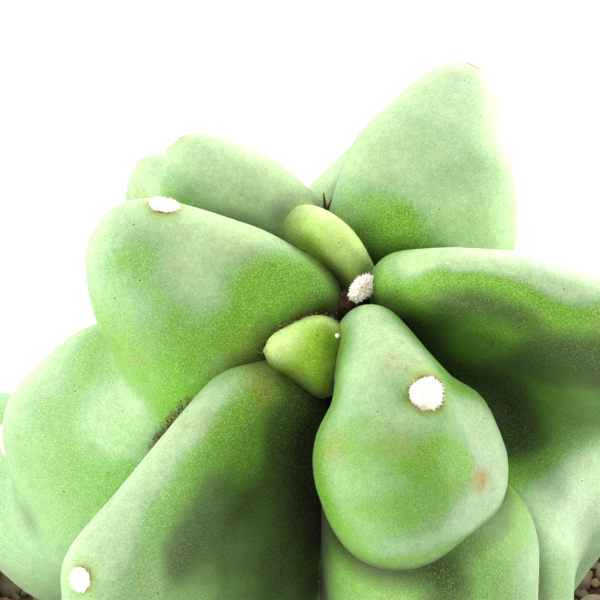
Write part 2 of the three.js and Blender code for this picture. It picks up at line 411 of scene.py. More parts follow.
def uneven(tree, start, geometry):  # dents each stone in its own way
    look = copyValues["stone"]
    place = add(tree, "GeometryNodeInputPosition").outputs[0]
    scale = maths(tree, "DIVIDE", look["dents"], start["Size"])
    swirl = add(tree, "ShaderNodeTexNoise", Vector=place, Scale=scale, Detail=look["dentDetail"])
    centred = add(
        tree, "ShaderNodeVectorMath", swirl.outputs["Color"], (0.5, 0.5, 0.5), operation="SUBTRACT"
    ).outputs[0]
    reach = times(tree, start["Size"], start["Unevenness"])
    push = add(tree, "ShaderNodeVectorMath", centred, operation="SCALE", Scale=reach).outputs[0]
    return add(tree, "GeometryNodeSetPosition", Geometry=geometry, Offset=push).outputs[0]


def finishTree(tree, start, end, instances, shape=None):  # tints the copies and makes them real
    tint = add(
        tree, "GeometryNodeStoreNamedAttribute", data_type="FLOAT", domain="INSTANCE", Name="tint",
        Geometry=instances, Value=randomFloat(tree, 0.0, 1.0, copyValues["tintSeed"]),
    )
    real = add(tree, "GeometryNodeRealizeInstances", tint.outputs[0]).outputs[0]
    both = add(tree, "GeometryNodeJoinGeometry", shape(tree, start, real) if shape else real)
    if not shape:  # the cushion stays under its fibres
        wire(tree, start["Geometry"], both.inputs[0])
    finished = add(tree, "GeometryNodeSetMaterial", Geometry=both.outputs[0], Material=start["Material"])
    wire(tree, finished.outputs[0], end[0])


def buildFringe():  # small teeth of wool round the rim of a pad that faces up at the origin
    sizes = {"Count": 46, "Radius": 2 * mm, "Length": 0.5 * mm, "Width": 0.1 * mm, "Rise": 0.3 * mm}
    tree, start, end = sizedTree("fringe", sizes)
    look = copyValues["tooth"]
    rim = add(tree, "GeometryNodeMeshCircle", Vertices=start["Count"], Radius=start["Radius"]).outputs[0]
    tooth = add(
        tree, "GeometryNodeMeshCone", Vertices=4, Side_Segments=1,
        Radius_Top=0, Radius_Bottom=start["Width"], Depth=start["Length"],
    )
    place = add(tree, "GeometryNodeInputPosition").outputs[0]
    lift = add(tree, "ShaderNodeCombineXYZ", Z=start["Rise"]).outputs[0]
    outward = add(tree, "ShaderNodeVectorMath", place, lift, operation="ADD").outputs[0]
    turn = add(tree, "FunctionNodeAlignRotationToVector", axis="Z", Vector=outward).outputs[0]
    turn = turnedOn(tree, turn, randomTurn(tree, look["lean"], look["turnSeed"]))
    size = randomFloat(tree, *look["sizes"], start["Seed"])
    finishTree(tree, start, end, copies(tree, rim, tooth.outputs["Mesh"], turn, size))
    return tree


def buildPebbles():  # uneven stones or crumbs on given points
    tree, start, end = sizedTree("pebbles", {"Size": 2.6 * mm, "Fineness": 2, "Unevenness": 0.9})
    stone = add(tree, "GeometryNodeMeshIcoSphere", Radius=start["Size"], Subdivisions=start["Fineness"])
    look = copyValues["stone"]
    turn = randomTurn(tree, look["lean"], look["turnSeed"])
    size = randomVector(tree, look["least"], look["most"], start["Seed"])
    finishTree(tree, start, end, copies(tree, start["Geometry"], stone.outputs["Mesh"], turn, size), uneven)
    return tree


feltTree = buildFelt()
fringeTree = buildFringe()
pebbleTree = buildPebbles()
print("helpers ready")

# The stem: each tubercle is the taut hull of a few balls
stemValues = {
    "voxel": 1.02,
    "ballFineness": 4,
    "waves": [(13.0, 0.3), (5.5, 0.1)],  # width and height of the slow unevenness
    "sharpAngle": 32,
    "creaseFrom": -22,  # below this height the creases between ribs turn soft
    "creaseTo": -36,
    "creaseBlur": 25,  # rounds of blur that show how deep a crease lies
    "creaseDip": 0.25,  # mm of dip that count as a full crease
    "creaseRounds": 60,
    "creaseShare": 0.5,
}

tubercles = {  # x, y, height and radius of each ball, in mm from the growing point
    "youngCrescent": [
        (-5.6, 10, 4.6, 3.4), (-3.5, 8.1, 5.7, 3.4), (-1.5, 5.8, 6, 3.3), (0.2, 4.3, 5, 3),
        (1.4, 3, 3.6, 2.7), (-3.7, 9.9, -4, 5), (0, 4, -4, 4),
    ],
    "youngTip": [(-8.5, -11.6, 4, 2.6), (-3.8, -10.4, 4, 4), (-3.8, -12.6, 1, 3.6), (-3.5, -4.8, -4, 5)],
    "left": [
        (-5.8, -0.4, 2, 5.1), (-14.5, 2.4, 4, 6.6), (-27.2, 3.9, 5, 8.6), (-25.7, 1.5, 1, 9.6),
        (-7, -0.3, -4, 7), (-20.4, -1.6, -8, 10.5),
    ],
    "leftMiddle": [
        (-28.3, 0.2, -22, 12), (-40, -1.9, -26, 10), (-36.3, -6.5, -38, 12), (-34.3, 3, -22, 9),
        (-30, 6, -34, 11),
    ],
    "leftLow": [(-42, -1, -46, 14), (-53, 6, -47, 11.5), (-44, 1, -58, 11), (-36, 4, -60, 12)],
    "frontLeft": [
        (-7.9, -13.3, -3, 4.7), (-14.5, -17.2, -0.5, 4.6), (-19.1, -24.8, -1, 5.2), (-30.1, -41.5, -5, 6.6),
        (-8, -14.5, -9, 5.5), (-10.5, -18, -20, 6.8), (-23, -31, -22, 8), (-30, -37.5, -20, 8),
        (-7.2, -21.5, -31, 6.4), (-14, -30, -38, 8),
    ],
    "frontLeftMiddle": [(-26, -27, -36, 10.5), (-30, -34, -42, 10.5), (-24, -29, -50, 12)],
    "frontLeftLow": [(-24, -27, -54, 12), (-27, -35, -60, 10), (-25, -27, -72, 10)],
    "front": [(3.2, -9.2, 4, 4.5), (6.5, -19.4, 3.1, 7.4), (7.6, -24.5, 0.4, 8.8)],
    "frontBulge": [(5.8, -26.1, -1, 10.4), (7, -28.1, -5, 10.2), (14, -25.7, -6, 7.2), (8, -20.5, -3, 7.2)],
    "frontShoulder": [(13.2, -20.6, -1.3, 6.3), (13.5, -23.8, -5, 8), (7.4, -19, -8, 8)],
    "frontMiddle": [
        (9.4, -26.4, -14, 12), (13, -28.1, -20, 13.5), (11.6, -29.1, -30, 14.4), (12.5, -31.7, -42, 15),
    ],
    "frontLow": [(9, -37, -50, 12.5), (12, -40.5, -60, 11.5), (8.5, -35, -72, 10)],
    "right": [
        (8.1, 0.5, 3, 5), (14, -2.6, 6.6, 4.9), (24, -4.6, 8, 5), (35, -7.6, 4.2, 5.8), (26, 0.5, -2, 6.5),
        (10.5, 0.8, -2, 6), (17.6, 1.6, -10, 7), (29.8, 1, -16, 8), (40.5, -1, -12, 9),
    ],
    "rightChin": [(27, 1, -22, 8.8), (37, 2, -18, 8.5), (22.4, 1, -18, 8.5)],
    "frontRight": [(18.4, -15.5, -30, 10), (21.5, -17.2, -34, 11.8), (23.5, -19.9, -56, 12)],
    "rightMiddle": [(27, -9, -32, 9.5), (41, 3, -43, 8), (32, -4, -44, 9), (32, 2, -33, 9.5)],
    "rightLow": [(33, 4, -54, 9.2), (31, 1, -66, 8), (44, 12, -45, 9.5), (28.5, -4, -60, 9)],
    "backRight": [
        (3.3, 12.6, 2, 5.6), (8.2, 23.9, 3, 7.4), (16.5, 35.6, 3, 6.6), (8.2, 16.7, -2, 8),
        (15, 21.8, 0, 9.8), (16, 18.4, -6, 9.3), (15, 32, -6, 9), (10, 20, -12, 9),
    ],
    "backRightMiddle": [
        (-0.6, 25.3, -10, 6), (8.3, 34.4, -10, 7), (16.5, 47.2, -12, 7.4), (12, 36, -22, 10.5),
        (9, 26, -26, 11),
    ],
    "backRightLow": [(14, 31, -40, 12), (19, 39.5, -48, 10), (14.5, 33, -60, 11)],
    "backRightFoot": [(18, 29, -62, 11), (20, 34.5, -70, 9)],
    "backLeft": [
        (-8, 13.1, 2, 5.4), (-14.1, 17.4, 3, 6.6), (-20.3, 22.1, 3, 5.8), (-10.6, 15.6, -4, 8),
        (-18.7, 20.5, -4, 7.6), (-17, 21, -12, 10),
    ],
    "backLeftMiddle": [
        (-19.3, 31.4, -18, 8), (-27.3, 38, -17.6, 5.8), (-23, 31, -28, 10), (-16, 24, -24, 10),
    ],
    "backLeftLow": [(-18.5, 29.5, -44, 12), (-24.5, 36.5, -52, 10.5), (-22, 28.5, -62, 11)],
    "backLeftFoot": [(-22, 23, -62, 11), (-27.5, 26.5, -71, 9)],
    "heart": [(0, 0, -16, 11), (0, 3, -34, 24), (0, 0, -57, 33), (0, 0, -82, 35), (0, 0, -108, 14)],
}


def around(azimuth, reach, height, radius):  # a ball at this angle and distance from the axis
    angle = math.radians(azimuth)
    return (reach * math.cos(angle), reach * math.sin(angle), height, radius)


columnValues = {  # the azimuth of each column, then the reach, height and radius of the balls down it
    "ribs": (
        {"leftRib": 180, "frontLeftRib": 228, "frontRib": 286, "backRightRib": 64, "backLeftRib": 126},
        ((17, -12, 8), (30, -32, 11), (34, -54, 13), (27, -84, 12), (14, -104, 9)),
    ),
    "thinRibs": ({"rightRib": 2}, ((17, -12, 8), (27, -32, 11), (27, -54, 11), (25, -84, 11), (16, -104, 9))),
    "frontFlesh": ({"flesh256": 256}, ((9, -20, 8), (16, -37, 11), (22, -58, 13), (20, -84, 12))),
    "flesh": {  # azimuth and greatest reach
        "flesh153": (153, 24), "flesh95": (95, 24), "flesh33": (33, 20), "flesh205": (205, 22),
    },
}


def addColumns():  # ribs run down under the tubercles, with flesh between them
    for kind in ("ribs", "thinRibs", "frontFlesh"):
        azimuths, balls = columnValues[kind]
        for name, azimuth in azimuths.items():
            tubercles[name] = [around(azimuth, *ball) for ball in balls]
    for name, (azimuth, reach) in columnValues["flesh"].items():
        balls = ((14, -16, 9), (reach, -34, 12), (reach + 3, -58, 13), (reach, -84, 12))
        tubercles[name] = [around(azimuth, *ball) for ball in balls]


addColumns()
flesh = [name for name in tubercles if name.startswith("flesh")]
growths = [  # what grew as one soft swelling, and how far its inner edges are blurred
    (2.6, ["heart", *flesh]),
    (2.2, ["left", "leftMiddle", "leftLow", "leftRib"]),
    (2.0, ["frontLeft", "frontLeftMiddle", "frontLeftLow", "frontLeftRib"]),
    (2.2, ["frontMiddle", "frontLow", "frontRib"]),
    (2.0, ["right", "rightChin", "rightMiddle", "rightLow", "frontRight", "rightRib"]),
    (2.2, ["backRightMiddle", "backRightLow", "backRightFoot", "backRightRib"]),
    (2.2, ["backLeftMiddle", "backLeftLow", "backLeftFoot", "backLeftRib"]),
    (1.8, ["front", "frontBulge", "frontShoulder"]),
    (1.8, ["backRight"]),
    (1.8, ["backLeft"]),
    (1.1, ["youngCrescent"]),
    (0.7, ["youngTip"]),
]


def hullMesh(balls, blur):
    bm = bmesh.new()
    for x, y, height, radius in balls:
        grown = math.sqrt(radius**2 + 2 * blur**2)  # makes up for what the blur takes off
        made = bmesh.ops.create_icosphere(bm, subdivisions=stemValues["ballFineness"], radius=grown * mm)
        bmesh.ops.translate(bm, verts=made["verts"], vec=fromCrown(x, y, height))
    bmesh.ops.delete(bm, geom=bm.edges[:], context="EDGES_FACES")
    hull = bmesh.ops.convex_hull(bm, input=bm.verts[:])
    inner = [item for item in hull["geom_interior"] if isinstance(item, bmesh.types.BMVert)]
    bmesh.ops.delete(bm, geom=inner, context="VERTS")
    return meshFrom(bm, "hull")


def swelling(names, blur):  # joins tubercles in one skin and blurs its edges
    piece = linked(names[0], joinedMesh(names[0], [hullMesh(tubercles[name], blur) for name in names]))
    remeshed(piece, stemValues["voxel"])
    rounds = round((2 * blur / stemValues["voxel"]) ** 2)
    setPoints(piece.data, relaxed(piece.data, rounds))
    return piece


def unite(body, shoot):
    union = body.modifiers.new("union", "BOOLEAN")
    union.operation = "UNION"
    union.solver = "MANIFOLD"
    union.object = shoot
    bake(body)
    bpy.data.objects.remove(shoot)


def dipOf(mesh, rounds):  # how far each point lies below its blurred surroundings, in mm
    return ((relaxed(mesh, rounds) - pointsOf(mesh)) * normalsOf(mesh)).sum(axis=1) / mm


def softenLowCreases(mesh):
    values = stemValues
    height = (pointsOf(mesh)[:, 2] - crown.z) / mm
    low = np.clip((values["creaseFrom"] - height) / (values["creaseFrom"] - values["creaseTo"]), 0, 1)
    dip = np.clip(dipOf(mesh, values["creaseBlur"]) / values["creaseDip"], 0, 1)
    setPoints(mesh, relaxed(mesh, values["creaseRounds"], values["creaseShare"] * low * dip))


def waved(mesh):
    points, normals = pointsOf(mesh), normalsOf(mesh)
    for width, height in stemValues["waves"]:
        points += normals * (noiseAt(points, width) * height * mm)[:, None]
    setPoints(mesh, points)


def buildStem():
    (blur, names), *others = growths
    stem = swelling(names, blur)
    stem.name = "cactusStem"
    for blur, names in others:
        unite(stem, swelling(names, blur))
    softenLowCreases(stem.data)
    waved(stem.data)
    return stem


stem = buildStem()
print("stem shape ready")


# Masks over the skin, and a finer mesh with a shallow seat at each areole
areoleValues = {
    "radius": 2.15,
    "refineReaches": (4.4, 3.2),  # mm around an areole where the mesh is made finer, once for each
    "refineSmooth": 0.5,
    "depth": 3,  # mm above and below the seat that it shapes and colours
    "lobes": (3, 0.05),  # how many and how deep: the outline's slow and quick unevenness
    "ripples": (7, 0.03),
    "seatDepth": 0.28,
    "seatWall": 0.5,
    "lipRise": 0.1,
    "lipAt": 2.45,
    "lipWidth": 0.35,
    "rimWidth": 0.14,
    "rimAt": 2.22,
    "rimShares": (0.55, 0.45),  # its even part, and the part that comes and goes round the areole
    "stains": {"halo": (5.2, 0.65), "olive": (3.1, 0.6)},  # how far out each one reaches, and its strength
    "stainFade": 1.5,
    "sizes": {"areole_front_left": 0.7, "areole_left": 0.93},  # next to the others
    "facings": {"areole_front": (276, 50)},  # azimuth and elevation, where the skin's own isn't right
    "flatTo": 1.7,  # of the radius: how far a turned areole levels the skin
}
blushes = [  # x, y, height from the crown, reach and strength of each tan or orange stain
    (17, -29.8, 0.2, 1.4, 1.5), (-1.5, -28.5, 5, 2.4, 0.5), (-12, -15.5, 4, 3, 0.5), (-14, 1, 12, 3, 0.3),
    (-14, -10, 1, 3.4, 0.45), (-10.5, -19, 3.5, 2.6, 0.45), (6, -29, 8, 3, 0.3),
]
lightAndShadePatches = {  # x, y, height from the crown, reach and how much each raises the painted light (paler skin) or lowers it as painted shade (greener, darker skin)
    "left": [
        (-18.4, -6.5, 4.6, 8, 0.3), (-16.1, 14, 8.3, 8, 0.3), (-24, 18, 6, 6, 0.1),
        (-6.2, 15.6, 6.7, 5, 0.35), (-25, -9.5, -4, 7, 0.1), (-47.6, -10.1, -32.9, 8, -0.5),
        (-9.6, -3.2, 7, 5, -0.3), (-31, 0, 11.5, 6, -0.07), (-20.5, -2, 10.5, 4, 0.2),
        (-30, 36.8, -12.7, 5, 0.2), (-17.1, -7.8, 1.9, 4, -0.2), (-30, -10.6, -17, 6, 0.35),
        (-34, -8.6, -15, 5, 0.1), (-39.7, -16.9, -33.2, 6, -0.15),
    ],
    "backRight": [
        (22, 14, 0, 7, 0.6), (18, 14, 5, 5, 0.2), (13, 11, 4, 5, 0.4), (22.2, 18.5, 5.7, 5, -0.12),
        (4.4, 21, 9.2, 6, 0.25), (-1.8, 25.6, -4.2, 7, 0.75), (7.5, 10.5, 5.5, 3, -0.15),
        (12.1, 20.4, 9.7, 4, 0.12), (16.2, 32.6, 9.7, 5, 0.4),
    ],
    "right": [
        (10, -0.6, 9.7, 3, 0.35), (15.3, -1.3, 11.4, 3, 0.45), (20.5, -2.4, 12.2, 3.2, 0.45),
        (25.7, -4.2, 12.7, 4, 0.5), (31, -6.5, 11.4, 5, 0.45), (11.2, -5.6, 9, 3.4, -0.35),
        (14.5, -6.3, 9.6, 3.4, -0.32), (17.7, -7, 10, 3.4, -0.35), (20.6, -7.8, 9.9, 3.4, -0.3),
        (23.5, -8.8, 9.5, 3.4, -0.3), (9.3, -5.7, 4.7, 3.5, -0.15), (17, -8.2, 0.5, 4.5, 0.45),
        (21, -9.5, 5.5, 4, 0.35), (31, -11.5, 4, 8, -0.58), (22, -6.7, -12.9, 5, -0.3),
        (30, -9, -9, 5, 0.25), (32, -8, -14, 5, 0.4), (27, -8.4, -22, 5, -0.5), (34, -11, -27, 6, 0.35),
    ],
    "frontLeft": [
        (-7.6, -21.7, -4.3, 7, -0.3), (-9, -28.5, -15.7, 8, -0.45), (-15.5, -36.5, -13.2, 7, -0.25),
        (-22.5, -23.5, 3.3, 4, 0.25), (-26, -30, 2.5, 4, 0.35), (-29.5, -37.3, 2, 4, 0.3),
        (-16, -24.5, 3.2, 4, -0.2), (-7.6, -17.4, 1, 6, -0.25), (-12.8, -27.2, -1.2, 4, 0.1),
        (-14.2, -31.6, -6.3, 5, -0.22), (-6.2, -22.4, -10.3, 5, -0.3), (-18.5, -31, 2, 4, -0.42),
        (-20.5, -36, 0.5, 4.5, -0.35), (-23, -41, -1.5, 4.5, -0.4), (-17, -35.5, -6.5, 4, -0.2),
        (-31, -42, 1.5, 4, 0.2),
    ],
    "front": [
        (2.7, -28, 8.7, 5, -0.06), (3, -13, 9.2, 4.5, 0.1), (6.8, -16, 9.3, 4, 0.12),
        (13.5, -18.2, 5.3, 3, -0.4), (16, -22, 4.9, 3.5, 0.15), (-0.1, -28.6, 7, 4, -0.1),
        (11.6, -30.9, 6.1, 3, -0.24), (14.5, -30, 4, 2.5, -0.25), (9.5, -35, 2.5, 3.5, 0.03),
        (18.5, -24, 1.5, 4, 0.3), (15.9, -33.5, -3, 3.5, 0.5), (5.2, -38, -4, 3.5, 0.3),
        (11, -37, -3.5, 3.5, 0.35), (19.5, -29.5, -3.5, 3.5, 0.45),
    ],
    "underFront": [
        (12.5, -39.5, -13, 7, -0.42), (13.4, -37.1, -9.3, 4, -0.3), (21, -30, -9.4, 4, -0.45),
        (23.5, -33.5, -15, 4, 0.1), (29.6, -15.2, -25.4, 8, 0.5), (36, -13.5, -36, 7, 0.3),
    ],
    "young": [
        (-2.9, -12.2, 7.4, 3, -0.5), (-8.5, -11.5, 6.5, 3, 0.15), (-0.1, 2.6, 7.5, 4, 0.25),
        (-3.5, 7.5, 9, 3, 0.15), (-4.2, 5, 7, 2.5, -0.3),
    ],
}
smoothPlaces = [  # few dots
    (4, -14, 6, 7, 0.8), (6, -27, 4, 8, 0.9), (13, -28, -2, 8, 0.9), (5, -34, -4, 6, 0.5),
]
openPlaces = [  # no painted crease shade along the lower rim of the front tubercle
    (1.5, -36.5, -4.5, 3, 1), (5.4, -38.1, -4.5, 3, 1), (9, -37.7, -4.5, 3, 1), (12.6, -36.6, -4.3, 3, 1),
    (16, -34, -4.1, 3, 1), (18.7, -30.8, -3.9, 3, 1), (20.6, -27, -3.9, 3, 1),
]
paintedShadeSlots = [  # painted shade in dark slots: left of the front tubercle, under the young tip, and right of the front tubercle
    (-2.8, -23.5, -20, 4, 1.0), (-2.7, -28, -28, 5, 1.0), (-5.4, -21, -12, 4.4, 1.0),
    (-6, -19.5, -4.5, 3.8, 1.0), (-7, -21.5, -10, 6, 0.5), (-9, -26, -18, 7, 0.4),
    (-4.5, -15.5, -0.5, 3, 0.9), (23.5, -6.5, -13.2, 4, 0.7), (25.2, -7.4, -17.9, 3.5, 0.6),
    (21.6, -7.5, -7.4, 3, 0.5),
]
scurfTrails = [  # where brown crumbs have gathered: beside the front left rib, and beside the young tip
    [(-21.5, -11.9, -6.2), (-23.3, -11.5, -9.6), (-24.5, -8.7, -15), (-27.4, -11, -18)],
    [(-11.4, -7.9, 0.1), (-8.2, -6.2, 2.7), (-4.9, -5, 3.9), (-1.7, -3.6, 1.9)],
]
skinColours = {
    # white and pale tones for the most lit skin: painted highlight over partly real wax bloom
    "frost": (0.72, 0.82, 0.68),
    "pale": (0.55, 0.70, 0.46),
    "bloom": (0.41, 0.60, 0.36),
    # bare green, partly real and partly painted half-shade
    "vivid": (0.26, 0.51, 0.07),
    "shade": (0.12, 0.205, 0.06),
    "innerPale": (0.60, 0.76, 0.38),
    "youngPale": (0.72, 0.88, 0.42),
    "young": (0.33, 0.53, 0.02),
    "speckle": (0.66, 0.82, 0.36),
    # the speckle's darker copy, used where shade is painted
    "deepSpeckle": (0.46, 0.48, 0.22),
    # near-black painted shade in the creases between growths
    "crease": (0.035, 0.05, 0.012),
    "tan": (0.52, 0.38, 0.13),
    "halo": (0.33, 0.50, 0.08),
    "olive": (0.46, 0.44, 0.13),
    "rim": (0.36, 0.20, 0.09),
    "scurf": (0.12, 0.07, 0.035),
    "fleck": (0.9, 0.92, 0.85),
}
skinValues = {
    "frost": (1.15, 1.55),  # exposure at which the skin starts to turn white, and where it is white: a painted highlight over partly real wax bloom
    # painted light: exposure at which the skin starts to turn pale, and where it is pale
    "pale": (0.78, 1.0),
    "vivid": (0.9, 0.62),  # exposure below which the bare green starts to show, and where it is bare: partly real young skin, partly painted half-shade
    "shade": (0.41, 0.0),
    "young": (0.48, 1.0),
    "fullWax": 2.0,  # the exposure that a mask of 1 stands for
    "thinnest": 0.08,  # a patch of painted shade lowers the painted light no further than this
    "youngReach": 22,  # mm from the growing point
    "youngThins": 0.12,
    "youngShare": 0.8,
    "limeEdge": (0.3, 0.9),  # mm from a young tubercle over which its colour ends
    "outerFrom": 32,
    "outerTo": 60,
    "creaseReach": 3.6,  # mm from a growth at which the painted crease shade beside it has ended
    "creaseDepth": 80,  # mm below the growing point, where the creases end
    "creaseDark": 0.62,  # exposure at which light begins to take the painted crease shade away
    "creaseLit": 1.0,
    "creaseLoss": 0.85,  # how much of the painted crease shade full light takes away
    "creaseShare": 0.93,
    "patchShare": 0.12,
    "tanShare": 0.42,
    "dotShare": 0.32,
    "vividDotShare": 0.72,
    "hiddenDotShare": 0.75,
    "hiddenCreaseShare": 0.5,
    "fleckShares": (0.08, 0.9),  # in the light and in the shade
    "roughness": (0.5, 0.36),  # under wax and bare
    "grain": (2.2, 0.5, 1.0),
    "bump": (0.35, 0.0002),
    "finish": {
        "Subsurface_Weight": 0.1, "Subsurface_Radius": (0.4, 1.0, 0.25), "Subsurface_Scale": 0.001,
        "Sheen_Weight": 0.3, "Sheen_Roughness": 0.35,
    },
}
skinClouds = {  # size per mm, detail, roughness and seed, then the range of the noise and what it becomes
    "patches": (0.07, 3.0, 0.55, 3.0, 0.34, 0.66, -1.0, 1.0),
    "tan": (0.11, 4.0, 0.6, 9.0, 0.58, 0.72),
    "broken": (0.8, 3.0, 0.7, 4.0, 0.35, 0.6, 0.35, 1.0),
    "mottle": (0.9, 3.0, 0.65, 7.0, 0.3, 0.7, 0.92, 1.07),
    "fine": (4.5, 1.0, 0.5, 11.0, 0.3, 0.7, 0.9, 1.1),
    "crumbs": (1.6, 2.0, 0.6, 5.0, 0.4, 0.58),
}
skinDots = {  # cells per mm, then the distances from a cell's point at which a dot is full and has ended
    "pale": (4.4, 0.24, 0.52),
    "hidden": (4.2, 0.24, 0.5),
    "flecks": (1.2, 0.05, 0.11),
    "scurf": (0.3, 0.03, 0.045),
}
dotStrengths = (0.15, 0.7, 0.3, 1.0)  # a range of the cells' own tones, and of the dots' strength over it
exposureValues = {
    "voxel": 2.0,
    "rays": 90,
    "start": 0.6,  # mm above the skin, where a ray starts
    "reach": 90,  # mm to which something can shade a place
    "grazing": 0.02,  # rays flatter to the skin than this don't count
    "spread": 32,  # degrees around a softbox that it lights
    "everywhere": 0.15,
    "fullLight": 97,  # percentile of the skin that counts as fully lit
    "neighbours": 7,  # coarse points that each fine one takes its light from
    "facingPower": 3,
    "blur": 0.4,
}


def treeOf(mesh):
    return BVHTree.FromPolygons([v.co for v in mesh.vertices], [tuple(p.vertices) for p in mesh.polygons])


def hullTree(*names):
    return treeOf(joinedMesh("hulls", [hullMesh(tubercles[name], 0) for name in names]))


def areoleSeats(mesh):  # where each areole sits: its point on the skin, the way it faces and its size
    surface = treeOf(mesh)
    found = {}
    for name in areoleNodes:
        low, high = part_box(name)
        point, normal, _, _ = surface.find_nearest((low + high) / 2)
        if name in areoleValues["facings"]:
            normal = directionOf(*areoleValues["facings"][name])
        found[name] = (point, normal, areoleValues["sizes"].get(name, 1.0))
    return found


def refineAreoles(mesh, seats):
    bm = bmesh.new()
    bm.from_mesh(mesh)
    smooth = areoleValues["refineSmooth"]
    for reach in areoleValues["refineReaches"]:
        near = []
        for edge in bm.edges:
            if any((edge.verts[0].co - seat[0]).length < reach * mm for seat in seats):
                near.append(edge)
        bmesh.ops.subdivide_edges(bm, edges=near, cuts=1, use_grid_fill=True, smooth=smooth)
    bmesh.ops.triangulate(bm, faces=[face for face in bm.faces if len(face.verts) > 4])
    bm.to_mesh(mesh)
    bm.free()
    mesh.update()


def markAreoles(mesh, seats):
    values = areoleValues
    points = pointsOf(mesh)
    masks = {name: np.zeros(len(points)) for name in ("halo", "olive", "rim")}
    moved = points.copy()
    turned = [directionOf(*facing) for facing in values["facings"].values()]
    lobes, lobeDepth = values["lobes"]
    ripples, rippleDepth = values["ripples"]
    steady, changing = values["rimShares"]
    for point, normal, size in seats:
        away = (points - np.array(point)) / mm / size
        upright = away @ np.array(normal)
        flat = np.sqrt(np.clip((away**2).sum(axis=1) - upright**2, 0, None))
        angle = np.arctan2(away[:, 0], away[:, 1] + away[:, 2])
        uneven = lobeDepth * np.sin(lobes * angle + point[0] / mm) + rippleDepth * np.sin(ripples * angle)
        flat = flat * (1 + uneven)
        close = np.abs(upright) < values["depth"]
        seat = np.clip((values["radius"] - flat) / values["seatWall"], 0, 1) * -values["seatDepth"]
        lip = np.exp(-(((flat - values["lipAt"]) / values["lipWidth"]) ** 2)) * values["lipRise"]
        if normal in turned:
            level = np.clip((values["flatTo"] - flat / values["radius"]) / (values["flatTo"] - 1), 0, 1)
            moved -= np.outer(upright * level * close * size * mm, np.array(normal))
        moved += np.outer((seat + lip) * close * size * mm, np.array(normal))
        for name, (reach, strength) in values["stains"].items():
            nearness = np.clip((reach - flat) / (reach - values["rimAt"]), 0, 1) ** values["stainFade"]
            np.maximum(masks[name], nearness * strength * close, out=masks[name])
        edge = np.exp(-(((flat - values["rimAt"]) / values["rimWidth"]) ** 2))
        edge *= close * (steady + changing * np.sin(angle + 1))
        np.maximum(masks["rim"], edge, out=masks["rim"])
    setPoints(mesh, moved)
    for name, mask in masks.items():
        storeMask(mesh, name, mask)


def lightRays():  # even directions all round, and how much light comes from each
    values = exposureValues
    count = values["rays"]
    golden = math.pi * (3 - math.sqrt(5))
    heights = [1 - 2 * (i + 0.5) / count for i in range(count)]
    rays = [directionOf(math.degrees(golden * i), math.degrees(math.asin(h))) for i, h in enumerate(heights)]
    brightness = np.full(count, values["everywhere"])
    for azimuth, elevation, power in light["boxes"].values():
        nearness = np.clip(np.array(rays) @ np.array(directionOf(azimuth, elevation)), -1, 1)
        brightness += power * np.exp(-((np.degrees(np.arccos(nearness)) / values["spread"]) ** 2))
    return rays, brightness


def exposureOf(stemPiece):  # how much of the softboxes' light reaches each point of the skin: it is painted paler there, partly real wax bloom and partly painted light
    values = exposureValues
    coarse = remeshed(linked("coarse", stemPiece.data.copy()), values["voxel"])
    points, normals = pointsOf(coarse.data), normalsOf(coarse.data)
    blockers = treeOf(coarse.data)
    bpy.data.objects.remove(coarse)
    rays, brightness = lightRays()
    facing = normals @ np.array(rays).T
    seen = np.zeros(len(points))
    for index in range(len(points)):
        start = Vector(points[index] + normals[index] * values["start"] * mm)
        for ray in np.nonzero(facing[index] > values["grazing"])[0]:
            if blockers.ray_cast(start, rays[ray], values["reach"] * mm)[0] is None:
                seen[index] += facing[index][ray] * brightness[ray]
    seen /= np.percentile(seen, values["fullLight"])
    tree = KDTree(len(points))
    for index, point in enumerate(points):
        tree.insert(point, index)
    tree.balance()
    fine = np.empty(len(stemPiece.data.vertices))
    for index, vertex in enumerate(stemPiece.data.vertices):
        total = share = 0.0
        for _, near, distance in tree.find_n(vertex.co, values["neighbours"]):
            alike = max(float(normals[near] @ vertex.normal), values["grazing"])  # what faces the same way
            weight = alike ** values["facingPower"] / (distance + values["blur"] * mm)
            total += weight
            share += weight * seen[near]
        fine[index] = share / total
    return fine


def patchSum(points, patches):
    total = np.zeros(len(points))
    for x, y, height, reach, change in patches:
        gap = np.linalg.norm(points - np.array(fromCrown(x, y, height)), axis=1) / mm
        total += change * np.exp(-((gap / reach) ** 2))
    return total


scurfValues = {"step": 0.25, "width": 1.2, "within": 45}  # mm; there is none further from the growing point


def trailSpots(trail, surface):  # points along a trail, laid on the skin
    spots = []
    for first, last in zip(trail, trail[1:]):
        first, last = Vector(first), Vector(last)
        count = int((last - first).length / scurfValues["step"])
        spots += [surface.find_nearest(fromCrown(*first.lerp(last, i / count)))[0] for i in range(count)]
    return spots


def trailMask(mesh):
    surface = treeOf(mesh)
    spots = np.array([spot for trail in scurfTrails for spot in trailSpots(trail, surface)])
    points = pointsOf(mesh)
    mask = np.zeros(len(points))
    away = np.linalg.norm(points - np.array(crown), axis=1)
    for index in np.nonzero(away < scurfValues["within"] * mm)[0]:
        nearest = np.linalg.norm(spots - points[index], axis=1).min()
        mask[index] = 1 - nearest / (scurfValues["width"] * mm)
    return mask


def growthGaps(points):  # from each point to the second nearest growth, in mm
    reach = skinValues["creaseReach"]
    gaps = np.full((len(growths), len(points)), float(reach))
    near = np.nonzero(points[:, 2] > crown.z - skinValues["creaseDepth"] * mm)[0]
    for row, (_, names) in enumerate(growths):
        growth = hullTree(*names)
        for index in near:
            distance = growth.find_nearest(Vector(points[index]), reach * mm)[3]
            if distance is not None:
                gaps[row, index] = distance / mm
    return np.sort(gaps, axis=0)[1]


